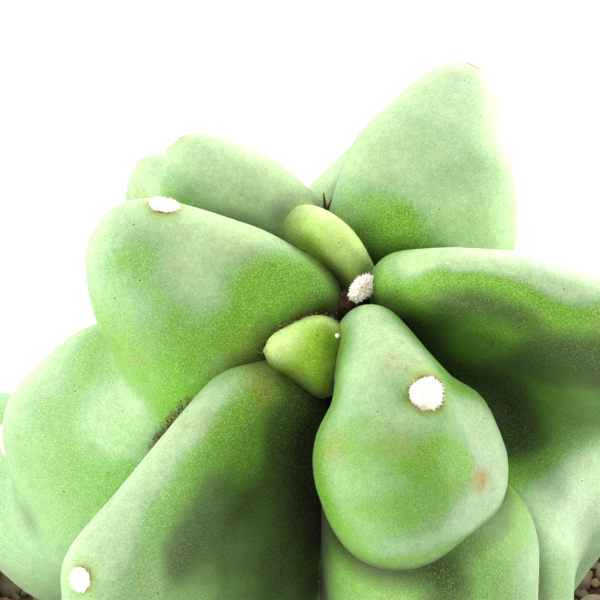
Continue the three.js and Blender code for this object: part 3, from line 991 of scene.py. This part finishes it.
def markStem(piece):
    mesh = piece.data
    points = pointsOf(mesh)
    away = np.linalg.norm(points - np.array(crown), axis=1) / mm
    values = skinValues
    storeMask(mesh, "youth", np.exp(-((away / values["youngReach"]) ** 2)))
    storeMask(mesh, "inner", (values["outerTo"] - away) / (values["outerTo"] - values["outerFrom"]))
    young = hullTree("youngCrescent", "youngTip")
    full, ended = values["limeEdge"]
    lime = np.zeros(len(points))
    for index in np.nonzero(away < values["youngReach"])[0]:
        gap = young.find_nearest(Vector(points[index]))[3] / mm
        lime[index] = 1 - min(max((gap - full) / (ended - full), 0), 1)
    storeMask(mesh, "lime", lime)
    storeMask(mesh, "scurf", trailMask(mesh))
    storeMask(mesh, "blush", patchSum(points, blushes))
    # the skin is painted paler where the softboxes reach it and darker where they don't: painted light and
    # painted shade over partly real wax bloom
    exposure = exposureOf(piece)
    wax = exposure + patchSum(points, [patch for group in lightAndShadePatches.values() for patch in group])
    wax = np.maximum(wax, np.minimum(exposure, values["thinnest"]))
    storeMask(mesh, "wax", wax / values["fullWax"])
    storeMask(mesh, "dotted", 1 - patchSum(points, smoothPlaces))
    # painted shade in the creases between growths, lighter where the softboxes light the skin
    crease = np.clip(1 - growthGaps(points) / values["creaseReach"], 0, 1)
    lit = np.clip((exposure - values["creaseDark"]) / (values["creaseLit"] - values["creaseDark"]), 0, 1)
    crease *= (1 - values["creaseLoss"] * lit) * np.clip(1 - patchSum(points, openPlaces), 0, 1)
    storeMask(mesh, "crease", np.maximum(crease, patchSum(points, paintedShadeSlots)))


seats = areoleSeats(stem.data)
markStem(stem)
print("masks ready")
refineAreoles(stem.data, seats.values())
markAreoles(stem.data, seats.values())
smoothAll(stem.data, stemValues["sharpAngle"])
stemTree = treeOf(stem.data)
print("stem", triangleCount(stem.data), "triangles")


def dots(tree, place, scale, full, ended):  # small round spots of uneven strength, 0 elsewhere
    cells = add(tree, "ShaderNodeTexVoronoi", feature="F1", Scale=scale, Vector=place)
    spots = spread(tree, cells.outputs["Distance"], ended, full)
    return times(tree, spots, spread(tree, cells.outputs["Color"], *dotStrengths))


def skinMaterial():
    colours, values = skinColours, skinValues
    material, tree, shader = newMaterial("cactusSkin", **values["finish"])
    place = millimetres(tree)
    names = ("wax", "youth", "inner", "lime", "blush", "halo", "olive", "rim", "scurf", "crease", "dotted")
    masks = {name: maskOf(tree, name) for name in names}
    clouds = {name: cloud(tree, place, *look) for name, look in skinClouds.items()}
    spots = {name: dots(tree, place, *look) for name, look in skinDots.items()}

    patches = times(tree, clouds["patches"], values["patchShare"])
    exposure = plus(tree, times(tree, masks["wax"], values["fullWax"]), patches)
    exposure = maths(tree, "SUBTRACT", exposure, times(tree, masks["youth"], values["youngThins"]))
    # the tones follow the painted light: white and pale as painted highlight over partly real wax, vivid
    # green partly as painted half-shade, the shade tone as painted shade, and young tips paler where lit
    frost, pale, shade = [eased(tree, exposure, *values[name]) for name in ("frost", "pale", "shade")]
    vivid = times(tree, eased(tree, exposure, *values["vivid"]), masks["inner"])
    palest = mixed(tree, frost, colours["pale"], colours["frost"])
    palest = mixed(tree, times(tree, masks["youth"], values["youngShare"]), palest, colours["innerPale"])
    young = mixed(tree, spread(tree, exposure, *values["young"]), colours["young"], colours["youngPale"])
    tan = maths(tree, "MAXIMUM", times(tree, clouds["tan"], values["tanShare"]), masks["blush"])
    colour = layered(
        tree, colours["bloom"], (vivid, colours["vivid"]), (pale, palest), (masks["lime"], young),
        (times(tree, tan, clouds["broken"]), colours["tan"]), (masks["halo"], colours["halo"]),
    )
    colour = mixed(tree, 1.0, colour, clouds["mottle"], "MULTIPLY")
    colour = mixed(tree, 1.0, colour, clouds["fine"], "MULTIPLY")

    dotShare = spread(tree, pale, 0.0, 1.0, values["vividDotShare"], values["dotShare"])
    dotShare = times(tree, dotShare, masks["dotted"])
    # speckle in painted shade and painted crease shade takes its darker, shaded copy
    hidden = maths(tree, "MAXIMUM", shade, times(tree, masks["crease"], values["hiddenCreaseShare"]))
    hidden = times(tree, hidden, values["hiddenDotShare"])
    fleckShare = spread(tree, shade, 0.0, 1.0, *values["fleckShares"])
    colour = layered(
        tree, colour,
        (times(tree, spots["pale"], dotShare), colours["speckle"]),
        (shade, colours["shade"]),
        (times(tree, masks["crease"], values["creaseShare"]), colours["crease"]),
        (times(tree, spots["hidden"], hidden), colours["deepSpeckle"]),
        (times(tree, spots["flecks"], fleckShare), colours["fleck"]),
        (spots["scurf"], colours["scurf"]),
        (masks["olive"], colours["olive"]),
        (masks["rim"], colours["rim"]),
        (times(tree, masks["scurf"], clouds["crumbs"]), colours["scurf"]),
    )
    wire(tree, spread(tree, vivid, 0.0, 1.0, *values["roughness"]), shader.inputs["Roughness"])
    height, _ = grainOf(tree, place, *values["grain"])
    dress(tree, shader, colour, plus(tree, height, spots["pale"]), values["bump"])
    return material


coat(stem.data, skinMaterial())
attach(stem, "root")
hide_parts("cactus_stem")
print("skin ready")


# Felt pads, the wool on the growing point, brown scurf and dry bristles
fibreValues = {
    "clumps": (1.5, 2.0, 0.6, 2.0),  # size per mm, detail, roughness and seed of the noise
    "darkFrom": 1.5,  # tint and clumps together, where none of the fibres are dark
    "darkTo": 1.9,
    "untinted": 0.0001,  # the cushion under the fibres has less tint than this
    "sheen": 0.6,
    # tone of the painted glow that lifts the felt and wool, which are no lamp
    "glowTone": (1, 0.97, 0.95),
}
fibreLooks = {
    "areoleFelt": {
        "pale": (0.98, 0.97, 0.95), "dark": (0.86, 0.78, 0.66), "darkShare": 0.2,
        "under": (0.92, 0.88, 0.83), "rough": 0.9, "glow": 0.14,
    },
    "crownWool": {
        "pale": (0.98, 0.94, 0.91), "dark": (0.62, 0.46, 0.36), "darkShare": 0.25,
        "under": (0.80, 0.70, 0.62), "rough": 0.9, "glow": 0.12,
    },
    "brownScurf": {"pale": (0.20, 0.11, 0.06), "dark": (0.03, 0.015, 0.01), "darkShare": 0.5, "rough": 0.8},
    "scurfCrumbs": {"pale": (0.42, 0.31, 0.17), "dark": (0.09, 0.06, 0.03), "darkShare": 0.55, "rough": 0.8},
}


def fibreMaterial(name, pale, dark, darkShare, rough, under=None, glow=0.0):
    values = fibreValues
    material, tree, shader = newMaterial(
        name, Roughness=rough, Sheen_Weight=values["sheen"],
        # painted light: the felt and wool glow a little
        Emission_Color=values["glowTone"], Emission_Strength=glow,
    )
    tint = maskOf(tree, "tint")
    both = plus(tree, tint, noiseOf(tree, millimetres(tree), *values["clumps"]))
    share = spread(tree, both, values["darkFrom"] - darkShare, values["darkTo"] - darkShare)
    colour = mixed(tree, share, pale, dark)
    if under:
        colour = mixed(tree, maths(tree, "LESS_THAN", tint, values["untinted"]), colour, under)
    wire(tree, colour, shader.inputs["Base Color"])
    return material


fibres = {name: fibreMaterial(name, **look) for name, look in fibreLooks.items()}

padValues = {
    "cushionHeight": 0.6,
    "unevenness": 0.16,
    "fineness": 4,
    "dimple": 0.35,
    "dimpleWidth": 0.6,
    "sunk": 0.1,
    "fibre": {"Spacing": 0.15 * mm, "Length": 0.42 * mm, "Width": 0.055 * mm, "Bend": 0.5, "Lean": 0.65},
    "lowest": 0.02 * mm,
    "fringe": {"Count": 54, "Radius": 1.9 * mm, "Length": 0.62 * mm, "Width": 0.17 * mm, "Rise": 0.6 * mm},
    "fringeSeed": 50,  # added to the pad's own number
}
lumpValues = {"bumps": 1.6, "shift": (3.1, 1.7, 0.9)}  # the noise's scale, and how far each seed moves it


def lump(name, halfSizes, roughness, seed, fineness=3):  # an uneven ellipsoid at the origin, in mm
    bm = bmesh.new()
    bmesh.ops.create_icosphere(bm, subdivisions=fineness, radius=1)
    shift = Vector([seed * part for part in lumpValues["shift"]])
    for vertex in bm.verts:
        vertex.co *= 1 + roughness * noise.noise(vertex.co * lumpValues["bumps"] + shift)
        vertex.co = Vector([part * half * mm for part, half in zip(vertex.co, halfSizes)])
    return linked(name, meshFrom(bm, name))


def keep(piece, node=None):
    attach(piece, "root")
    if node:
        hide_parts(node)


def buildPads():
    values = padValues
    halfSizes = (areoleValues["radius"], areoleValues["radius"], values["cushionHeight"])
    for seed, (node, (point, normal, size)) in enumerate(seats.items()):
        name = "areole" + node.removeprefix("areole_").title().replace("_", "")
        pad = lump(name, halfSizes, values["unevenness"], seed, values["fineness"])
        for vertex in pad.data.vertices:
            off = vertex.co.xy.length / mm / values["dimpleWidth"]
            vertex.co.z -= values["dimple"] * mm * math.exp(-(off**2)) * (vertex.co.z > 0)
        felt = {"Material": fibres["areoleFelt"]}
        runTree(pad, feltTree, {**values["fibre"], **felt, "Lowest": values["lowest"], "Seed": seed})
        runTree(pad, fringeTree, {**values["fringe"], **felt, "Seed": seed + values["fringeSeed"]})
        turn = Vector((0, 0, 1)).rotation_difference(normal).to_matrix().to_4x4()
        foot = Matrix.Translation(point - normal * values["sunk"] * mm)
        pad.data.transform(foot @ turn @ Matrix.Scale(size, 4))
        keep(pad, node)


crownWoolValues = {
    "halfSizes": (1.2, 2.5, 1.3),
    "unevenness": 0.25,
    "seed": 4,
    "turn": (-12, 0, -28),
    "fibre": {
        "Spacing": 0.24 * mm, "Length": 0.4 * mm, "Width": 0.16 * mm, "Bend": 0.8, "Lean": 1.1,
        "Lowest": -1 * mm, "Seed": 3,
    },
}


def buildCrownWool():
    low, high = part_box("crown_wool")
    values = crownWoolValues
    wool = lump("crownWool", values["halfSizes"], values["unevenness"], values["seed"])
    runTree(wool, feltTree, {**values["fibre"], "Material": fibres["crownWool"]})
    turn = Euler([math.radians(angle) for angle in values["turn"]]).to_matrix().to_4x4()
    wool.data.transform(Matrix.Translation((low + high) / 2) @ turn)
    keep(wool, "crown_wool")


bristleValues = {
    "hairs": [  # azimuth, elevation, length, thickness at the foot and bend, in mm and degrees
        (100, 62, 3.4, 0.36, -6), (45, 66, 3.0, 0.32, -12), (168, 45, 2.3, 0.2, 20), (-60, 60, 1.6, 0.2, 15),
        (-130, 60, 1.6, 0.18, 20), (140, 55, 2.6, 0.16, 25),
    ],
    "taper": 0.85,
    "taperPower": 1.5,
    "sides": 7,
    "steps": 6,
    "knob": (1.1, 0.8, 0.8),
    "knobUnevenness": 0.3,
    "knobSeed": 2,
    "rise": 0.5,
    "shift": Vector((0.7, 0, 0)),
    "sharpAngle": 50,
}


def bristleMesh(azimuth, elevation, length, thick, bend):
    bm = bmesh.new()
    place = Vector((0, 0, 0))
    rings = []
    steps, sides = bristleValues["steps"], bristleValues["sides"]
    for step in range(steps + 1):
        way = directionOf(azimuth, elevation + bend * step / steps)
        radius = thick * (1 - bristleValues["taper"] * (step / steps) ** bristleValues["taperPower"])
        across = Vector((0, 0, 1)).rotation_difference(way).to_matrix()
        ring = []
        for side in range(sides):
            angle = 2 * math.pi * side / sides
            spoke = Vector((math.cos(angle), math.sin(angle), 0)) * radius
            ring.append(bm.verts.new((place + across @ spoke) * mm))
        rings.append(ring)
        place = place + way * (length / steps)
    addWalls(bm, rings)
    bm.faces.new(reversed(rings[0]))
    bm.faces.new(rings[-1])
    return meshFrom(bm, "bristle")


def buildBristles():
    values = bristleValues
    low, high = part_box("bristle_tuft")
    foot = Vector(((low.x + high.x) / 2, (low.y + high.y) / 2, low.z))
    point, normal, _, _ = stemTree.find_nearest(foot)
    knob = lump("bristleTuft", values["knob"], values["knobUnevenness"], values["knobSeed"])
    tuft = [knob.data] + [bristleMesh(*hair) for hair in values["hairs"]]
    knob.data = joinedMesh("bristleTuft", tuft)
    knob.data.transform(Matrix.Translation(point + normal * values["rise"] * mm - values["shift"] * mm))
    knob.data.materials.append(fibres["brownScurf"])
    smoothAll(knob.data, values["sharpAngle"])
    keep(knob, "bristle_tuft")


pitValues = {
    "middle": (-0.2, -1.4, 2.4),
    "halfSizes": (1.3, 1.8, 1.0),
    "unevenness": 0.35,
    "seed": 6,
    "fibre": {
        "Spacing": 0.2 * mm, "Length": 0.7 * mm, "Width": 0.05 * mm, "Bend": 0.8, "Lean": 1.1,
        "Lowest": -1 * mm, "Seed": 8,
    },
}


def buildPitFibres():  # brown threads in the hollow beside the wool
    values = pitValues
    threads = lump("pitFibres", values["halfSizes"], values["unevenness"], values["seed"])
    runTree(threads, feltTree, {**values["fibre"], "Material": fibres["brownScurf"]})
    threads.data.transform(Matrix.Translation(fromCrown(*values["middle"])))
    keep(threads)


crumbValues = {
    "count": 170,
    "straying": 0.42 * mm,
    "rise": 0.04 * mm,
    "seed": 12,
    "stone": {"Size": 0.17 * mm, "Fineness": 1, "Unevenness": 1.0, "Seed": 5},
}
paleGrainValues = {
    "middle": (-2.4, -10.9, 5.4), "halfSizes": (0.3, 0.36, 0.28), "unevenness": 0.3, "seed": 9, "rise": 0.15,
}


def pointCloud(name, points):
    mesh = bpy.data.meshes.new(name)
    mesh.from_pydata(points, [], [])
    return linked(name, mesh)


def buildCrumbs():  # bark-like crumbs along the trails of scurf
    values = crumbValues
    pick = random.Random(values["seed"])
    places = []
    for trail in scurfTrails:
        spots = trailSpots(trail, stemTree)
        for _ in range(values["count"]):
            strayed = pick.choice(spots) + Vector([pick.gauss(0, values["straying"]) for _ in range(3)])
            point, normal, _, _ = stemTree.find_nearest(strayed)
            places.append(point + normal * values["rise"])
    crumbs = pointCloud("scurfCrumbs", places)
    runTree(crumbs, pebbleTree, {**values["stone"], "Material": fibres["scurfCrumbs"]})
    keep(crumbs)


def buildPaleGrain():
    values = paleGrainValues
    grain = lump("paleGrain", values["halfSizes"], values["unevenness"], values["seed"])
    point, normal, _, _ = stemTree.find_nearest(fromCrown(*values["middle"]))
    grain.data.transform(Matrix.Translation(point + normal * values["rise"] * mm))
    grain.data.materials.append(fibres["crownWool"])
    smoothAll(grain.data)
    keep(grain)


buildPads()
buildCrownWool()
buildPitFibres()
buildCrumbs()
buildPaleGrain()
buildBristles()
print("wool and bristles ready")

# Gravel and soil
gravelValues = {
    "bedVoxel": 1.3,
    "bedTop": 2,  # mm below the top down to which the bed is uneven
    "bedWaves": [(2.4, 0.55), (6.0, 0.5)],  # width and height of the bed's unevenness, in mm
    "bedSunk": 1.2 * mm,
    "layers": {
        "stones": {
            "tries": 6000, "spacing": 4.5, "clear": 2.2, "level": -0.4,
            "seed": 3, "size": 2.75, "fineness": 2,
        },
        "grit": {
            "tries": 9000, "spacing": 1.9, "clear": 0.9, "level": -0.5,
            "seed": 4, "size": 1.05, "fineness": 1,
        },
    },
    "unevenness": 1.1,
    "innermost": 0.2,  # of the wall's reach, squared: no stone is tried nearer to the axis
    "sharpAngle": 50,
    "tones": [
        (0.0, (0.30, 0.21, 0.14)), (0.18, (0.50, 0.37, 0.24)), (0.4, (0.70, 0.54, 0.38)),
        (0.62, (0.78, 0.67, 0.52)), (0.8, (0.55, 0.48, 0.40)), (1.0, (0.88, 0.81, 0.70)),
    ],
    "grain": (3.0, 0.6, 4.0),
    "pits": ((0.35, 0.7, 0.0, 0.5), (0.2, 0.14, 0.1)),  # the range of the grain, and the colour
    "flecks": (0.4, (0.75, 0.68, 0.58)),
    "rough": 0.8,
    "bump": (0.6, 0.0003),
}
soilValues = {
    "grain": (1.4, 0.3, 6.0),
    "range": (0.35, 0.65),
    "dark": (0.03, 0.02, 0.014),
    "light": (0.13, 0.085, 0.055),
    "perlite": ((0.35, 0.12, 0.16), (0.75, 0.73, 0.68)),
    "rough": 0.95,
    "bump": (0.9, 0.001),
}


def gravelMaterial():
    values = gravelValues
    material, tree, shader = newMaterial("gravelStone", Roughness=values["rough"])
    tones = add(tree, "ShaderNodeValToRGB", maskOf(tree, "tint"))
    marks = tones.color_ramp.elements
    while len(marks) < len(values["tones"]):
        marks.new(0.5)
    for mark, (position, tone) in zip(marks, values["tones"]):
        mark.position = position
        mark.color = (*tone, 1)
    height, flecks = grainOf(tree, millimetres(tree), *values["grain"])
    pits, pitTone = values["pits"]
    fleckShare, fleckTone = values["flecks"]
    pits = spread(tree, height, *pits)
    colour = layered(tree, tones.outputs[0], (pits, pitTone), (times(tree, flecks, fleckShare), fleckTone))
    dress(tree, shader, colour, height, values["bump"])
    return material


def soilMaterial():
    values = soilValues
    material, tree, shader = newMaterial("pottingSoil", Roughness=values["rough"])
    place = millimetres(tree)
    height, _ = grainOf(tree, place, *values["grain"])
    perlite, perliteTone = values["perlite"]
    colour = mixed(tree, spread(tree, height, *values["range"]), values["dark"], values["light"])
    colour = mixed(tree, dots(tree, place, *perlite), colour, perliteTone)
    dress(tree, shader, colour, height, values["bump"])
    return material


def scatterRing(values):  # points on the gravel, clear of the stem, the wall and each other
    pick = random.Random(values["seed"])
    wall = gravelHigh.x - values["clear"] * mm
    innermost = gravelValues["innermost"]
    chosen = []
    for _ in range(values["tries"]):
        turn, reach = pick.uniform(0, 2 * math.pi), wall * math.sqrt(pick.uniform(innermost, 1))
        point = Vector((reach * math.cos(turn), reach * math.sin(turn), gravelHigh.z + values["level"] * mm))
        near, normal, _, distance = stemTree.find_nearest(point)
        if (point - near).dot(normal) < 0 or distance < values["clear"] * mm:
            continue
        if all((point - other).length > values["spacing"] * mm for other in chosen):
            chosen.append(point)
    return chosen


mergedWithin = 0.01 * mm


def mergedCopy(node, name):
    bm = bmesh.new()
    bm.from_mesh(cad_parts[node].data)
    bmesh.ops.remove_doubles(bm, verts=bm.verts[:], dist=mergedWithin)
    return linked(name, meshFrom(bm, name))


def gravelBed():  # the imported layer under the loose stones
    bed = remeshed(mergedCopy("gravel_top_dressing", "gravelTopDressing"), gravelValues["bedVoxel"])
    points = pointsOf(bed.data)
    top = points[:, 2] > gravelHigh.z - gravelValues["bedTop"] * mm
    lift = np.zeros(len(points))
    for width, height in gravelValues["bedWaves"]:
        lift += noiseAt(points, width) * height * mm
    points[:, 2] += np.where(top, lift - gravelValues["bedSunk"], 0)
    setPoints(bed.data, points)
    return bed


def buildGravel():
    material = gravelMaterial()
    bed = gravelBed()
    coat(bed.data, material)
    layers = [bed.data]
    for name, values in gravelValues["layers"].items():
        stones = pointCloud(name, scatterRing(values))
        inputs = {"Size": values["size"] * mm, "Fineness": values["fineness"], "Seed": values["seed"]}
        inputs.update({"Unevenness": gravelValues["unevenness"], "Material": material})
        runTree(stones, pebbleTree, inputs)
        layers.append(stones.data)
        print(name, len(stones.data.polygons), "faces")
        bpy.data.objects.remove(stones)
    bed.data = joinedMesh("gravelTopDressing", layers)
    bed.data.materials.append(material)
    smoothAll(bed.data, gravelValues["sharpAngle"])
    keep(bed, "gravel_top_dressing")


buildGravel()
coat(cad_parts["potting_soil"].data, soilMaterial())
print("gravel and soil ready")

# The pot: turned clay, with a collar under the rim and a drainage hole in its foot
potValues = {  # mm
    "collarHeight": 26, "collarProud": 2.5, "wall": 4.5, "floor": 6, "drain": 8, "foot": 44,
    "rimRound": 1.6, "footRound": 1.4, "collarRound": 1.2, "underRound": 1.0, "drainRound": 0.8,
    "innerRound": 5, "sides": 160, "roundSteps": 5, "stretch": 3,
}
clayValues = {
    "clouds": (0.03, 4.0, 0.6, 1.0, 0.35, 0.65),  # a noise and its range, as on the skin
    "dark": (0.36, 0.145, 0.075),
    "light": (0.46, 0.20, 0.105),
    "grain": (2.4, 0.25, 2.0),
    "pits": ((0.3, 0.7, 0.0, 0.45), (0.30, 0.11, 0.055)),
    "flecks": (0.35, (0.58, 0.34, 0.22)),
    "limePatches": (0.05, 5.0, 0.68, 8.0, 0.48, 0.66),
    "limeLow": (50.0, 5.0, 0.0, 0.6),  # heights over which it grows, then its shares there
    "limeUnderCollar": (84.0, 92.0, 0.0, 0.35),
    "limeEverywhere": 0.12,
    "lime": (0.78, 0.68, 0.58),
    "rough": (0.78, 0.9),
    "lines": {"Scale": 0.22, "Distortion": 1.2, "Detail": 2.0},  # left by the turning
    "lineShare": 0.35,
    "bump": (0.5, 0.0004),
}


def rounded(corner, before, after, radius):  # points of an arc in place of a sharp corner
    corner, before, after = Vector(corner), Vector(before), Vector(after)
    first = corner + (before - corner).normalized() * radius
    last = corner + (after - corner).normalized() * radius
    steps = potValues["roundSteps"]
    curve = []
    for step in range(steps + 1):
        t = step / steps
        curve.append(first * (1 - t) ** 2 + corner * 2 * t * (1 - t) + last * t**2)
    return curve


def outerRadius(height):  # of the plain wall, without the collar
    rim = potHigh.x / mm - potValues["collarProud"]
    return potValues["foot"] + (rim - potValues["foot"]) * height / (potHigh.z / mm)


def potProfile():  # radius and height in mm, from the drain up the outside, over the rim and down inside
    values = potValues
    height, rim = potHigh.z / mm, potHigh.x / mm
    collar, proud, wall = height - values["collarHeight"], values["collarProud"], values["wall"]
    corners = [
        ((values["drain"], 0), values["drainRound"]),
        ((values["foot"], 0), values["footRound"]),
        ((outerRadius(collar - proud), collar - proud), values["underRound"]),
        ((outerRadius(collar) + proud, collar), values["collarRound"]),
        ((rim, height), values["rimRound"]),
        ((outerRadius(height) - wall, height), values["rimRound"]),
        ((outerRadius(values["floor"]) - wall, values["floor"]), values["innerRound"]),
        ((values["drain"], values["floor"]), values["drainRound"]),
    ]
    profile = []
    for index, (corner, radius) in enumerate(corners):
        before, after = corners[index - 1][0], corners[(index + 1) % len(corners)][0]
        arc = rounded(corner, before, after, radius)
        if profile:
            profile += stretch(profile[-1], arc[0])
        profile += arc
    return profile


def stretch(first, last):  # points along a straight run
    steps = int((last - first).length / potValues["stretch"])
    return [first.lerp(last, step / (steps + 1)) for step in range(1, steps + 1)]


def buildPot():
    sides = potValues["sides"]
    bm = bmesh.new()
    rings = []
    for point in potProfile():
        ring = []
        for side in range(sides):
            angle = 2 * math.pi * side / sides
            place = (point.x * math.cos(angle) * mm, point.x * math.sin(angle) * mm, point.y * mm)
            ring.append(bm.verts.new(place))
        rings.append(ring)
    addWalls(bm, rings + rings[:1])
    bmesh.ops.recalc_face_normals(bm, faces=bm.faces[:])
    pot = linked("clayPot", meshFrom(bm, "clayPot"))
    pot.data.materials.append(clayMaterial())
    smoothAll(pot.data)
    keep(pot, "pot")


def clayMaterial():
    values = clayValues
    material, tree, shader = newMaterial("terracotta")
    place = millimetres(tree)
    tall = add(tree, "ShaderNodeSeparateXYZ", place).outputs["Z"]
    clouds = cloud(tree, place, *values["clouds"])
    height, flecks = grainOf(tree, place, *values["grain"])
    low = plus(tree, eased(tree, tall, *values["limeLow"]), values["limeEverywhere"])
    underCollar = eased(tree, tall, *values["limeUnderCollar"])
    lime = times(tree, cloud(tree, place, *values["limePatches"]), maths(tree, "MAXIMUM", low, underCollar))
    pits, pitTone = values["pits"]
    fleckShare, fleckTone = values["flecks"]
    colour = layered(
        tree, values["dark"], (clouds, values["light"]), (spread(tree, height, *pits), pitTone),
        (times(tree, flecks, fleckShare), fleckTone), (lime, values["lime"]),
    )
    wire(tree, spread(tree, clouds, 0.0, 1.0, *values["rough"]), shader.inputs["Roughness"])
    lines = add(
        tree, "ShaderNodeTexWave", wave_type="BANDS", bands_direction="Z", Vector=place, **values["lines"]
    )
    height = plus(tree, times(tree, lines.outputs["Fac"], values["lineShare"]), height)
    dress(tree, shader, colour, height, values["bump"])
    return material


buildPot()
print("pot ready")

# Floor, light and camera
def buildSoftBoxes():
    for name, (azimuth, elevation, power) in light["boxes"].items():
        away = directionOf(azimuth, elevation)
        lamp = bpy.data.lights.new(name, "AREA")
        lamp.energy = power
        lamp.size = light["size"]
        box = linked(name + "Box", lamp)
        box.location = crown + away * light["distance"]
        box.rotation_euler = away.to_track_quat("Z", "Y").to_euler()
        box.visible_camera = False


def buildFloor():
    bm = bmesh.new()
    parts = light["floorParts"]
    bmesh.ops.create_grid(bm, x_segments=parts, y_segments=parts, size=light["floorSize"])
    floor = linked("floor", meshFrom(bm, "floor"))
    material, tree, shader = newMaterial(
        "paleFloor", Base_Color=light["floorTone"], Roughness=light["floorRough"],
        Emission_Color=light["backdropTone"],
    )
    seen = add(tree, "ShaderNodeLightPath").outputs["Is Camera Ray"]
    wire(tree, times(tree, seen, light["floorGlow"]), shader.inputs["Emission Strength"])
    floor.data.materials.append(material)


def buildBackdrop():  # white to the eye, and dim as a light
    world = bpy.data.worlds.new("studio")
    world.use_nodes = True
    tree = world.node_tree
    seen = add(tree, "ShaderNodeLightPath").outputs["Is Camera Ray"]
    background = tree.nodes["Background"]
    put(tree, background.inputs["Color"], light["backdropTone"])
    put(tree, background.inputs["Strength"], spread(tree, seen, 0.0, 1.0, light["fill"], light["backdrop"]))
    scene.world = world


def buildCamera():
    data = bpy.data.cameras.new("camera")
    data.sensor_width = view["sensor"]
    data.lens = data.sensor_width * view["focalPixels"] / view["framePixels"]
    data.clip_start = view["nearest"]
    camera = linked("camera", data)
    back = directionOf(-90, view["elevation"])
    camera.location = fromCrown(*view["aimMm"]) + back * view["distance"]
    camera.rotation_euler = (-back).to_track_quat("-Z", "Y").to_euler()
    scene.camera = camera


buildSoftBoxes()
buildFloor()
buildBackdrop()
buildCamera()
scene.view_settings.view_transform = "Standard"
scene.view_settings.gamma = light["gamma"]
print("stage ready")
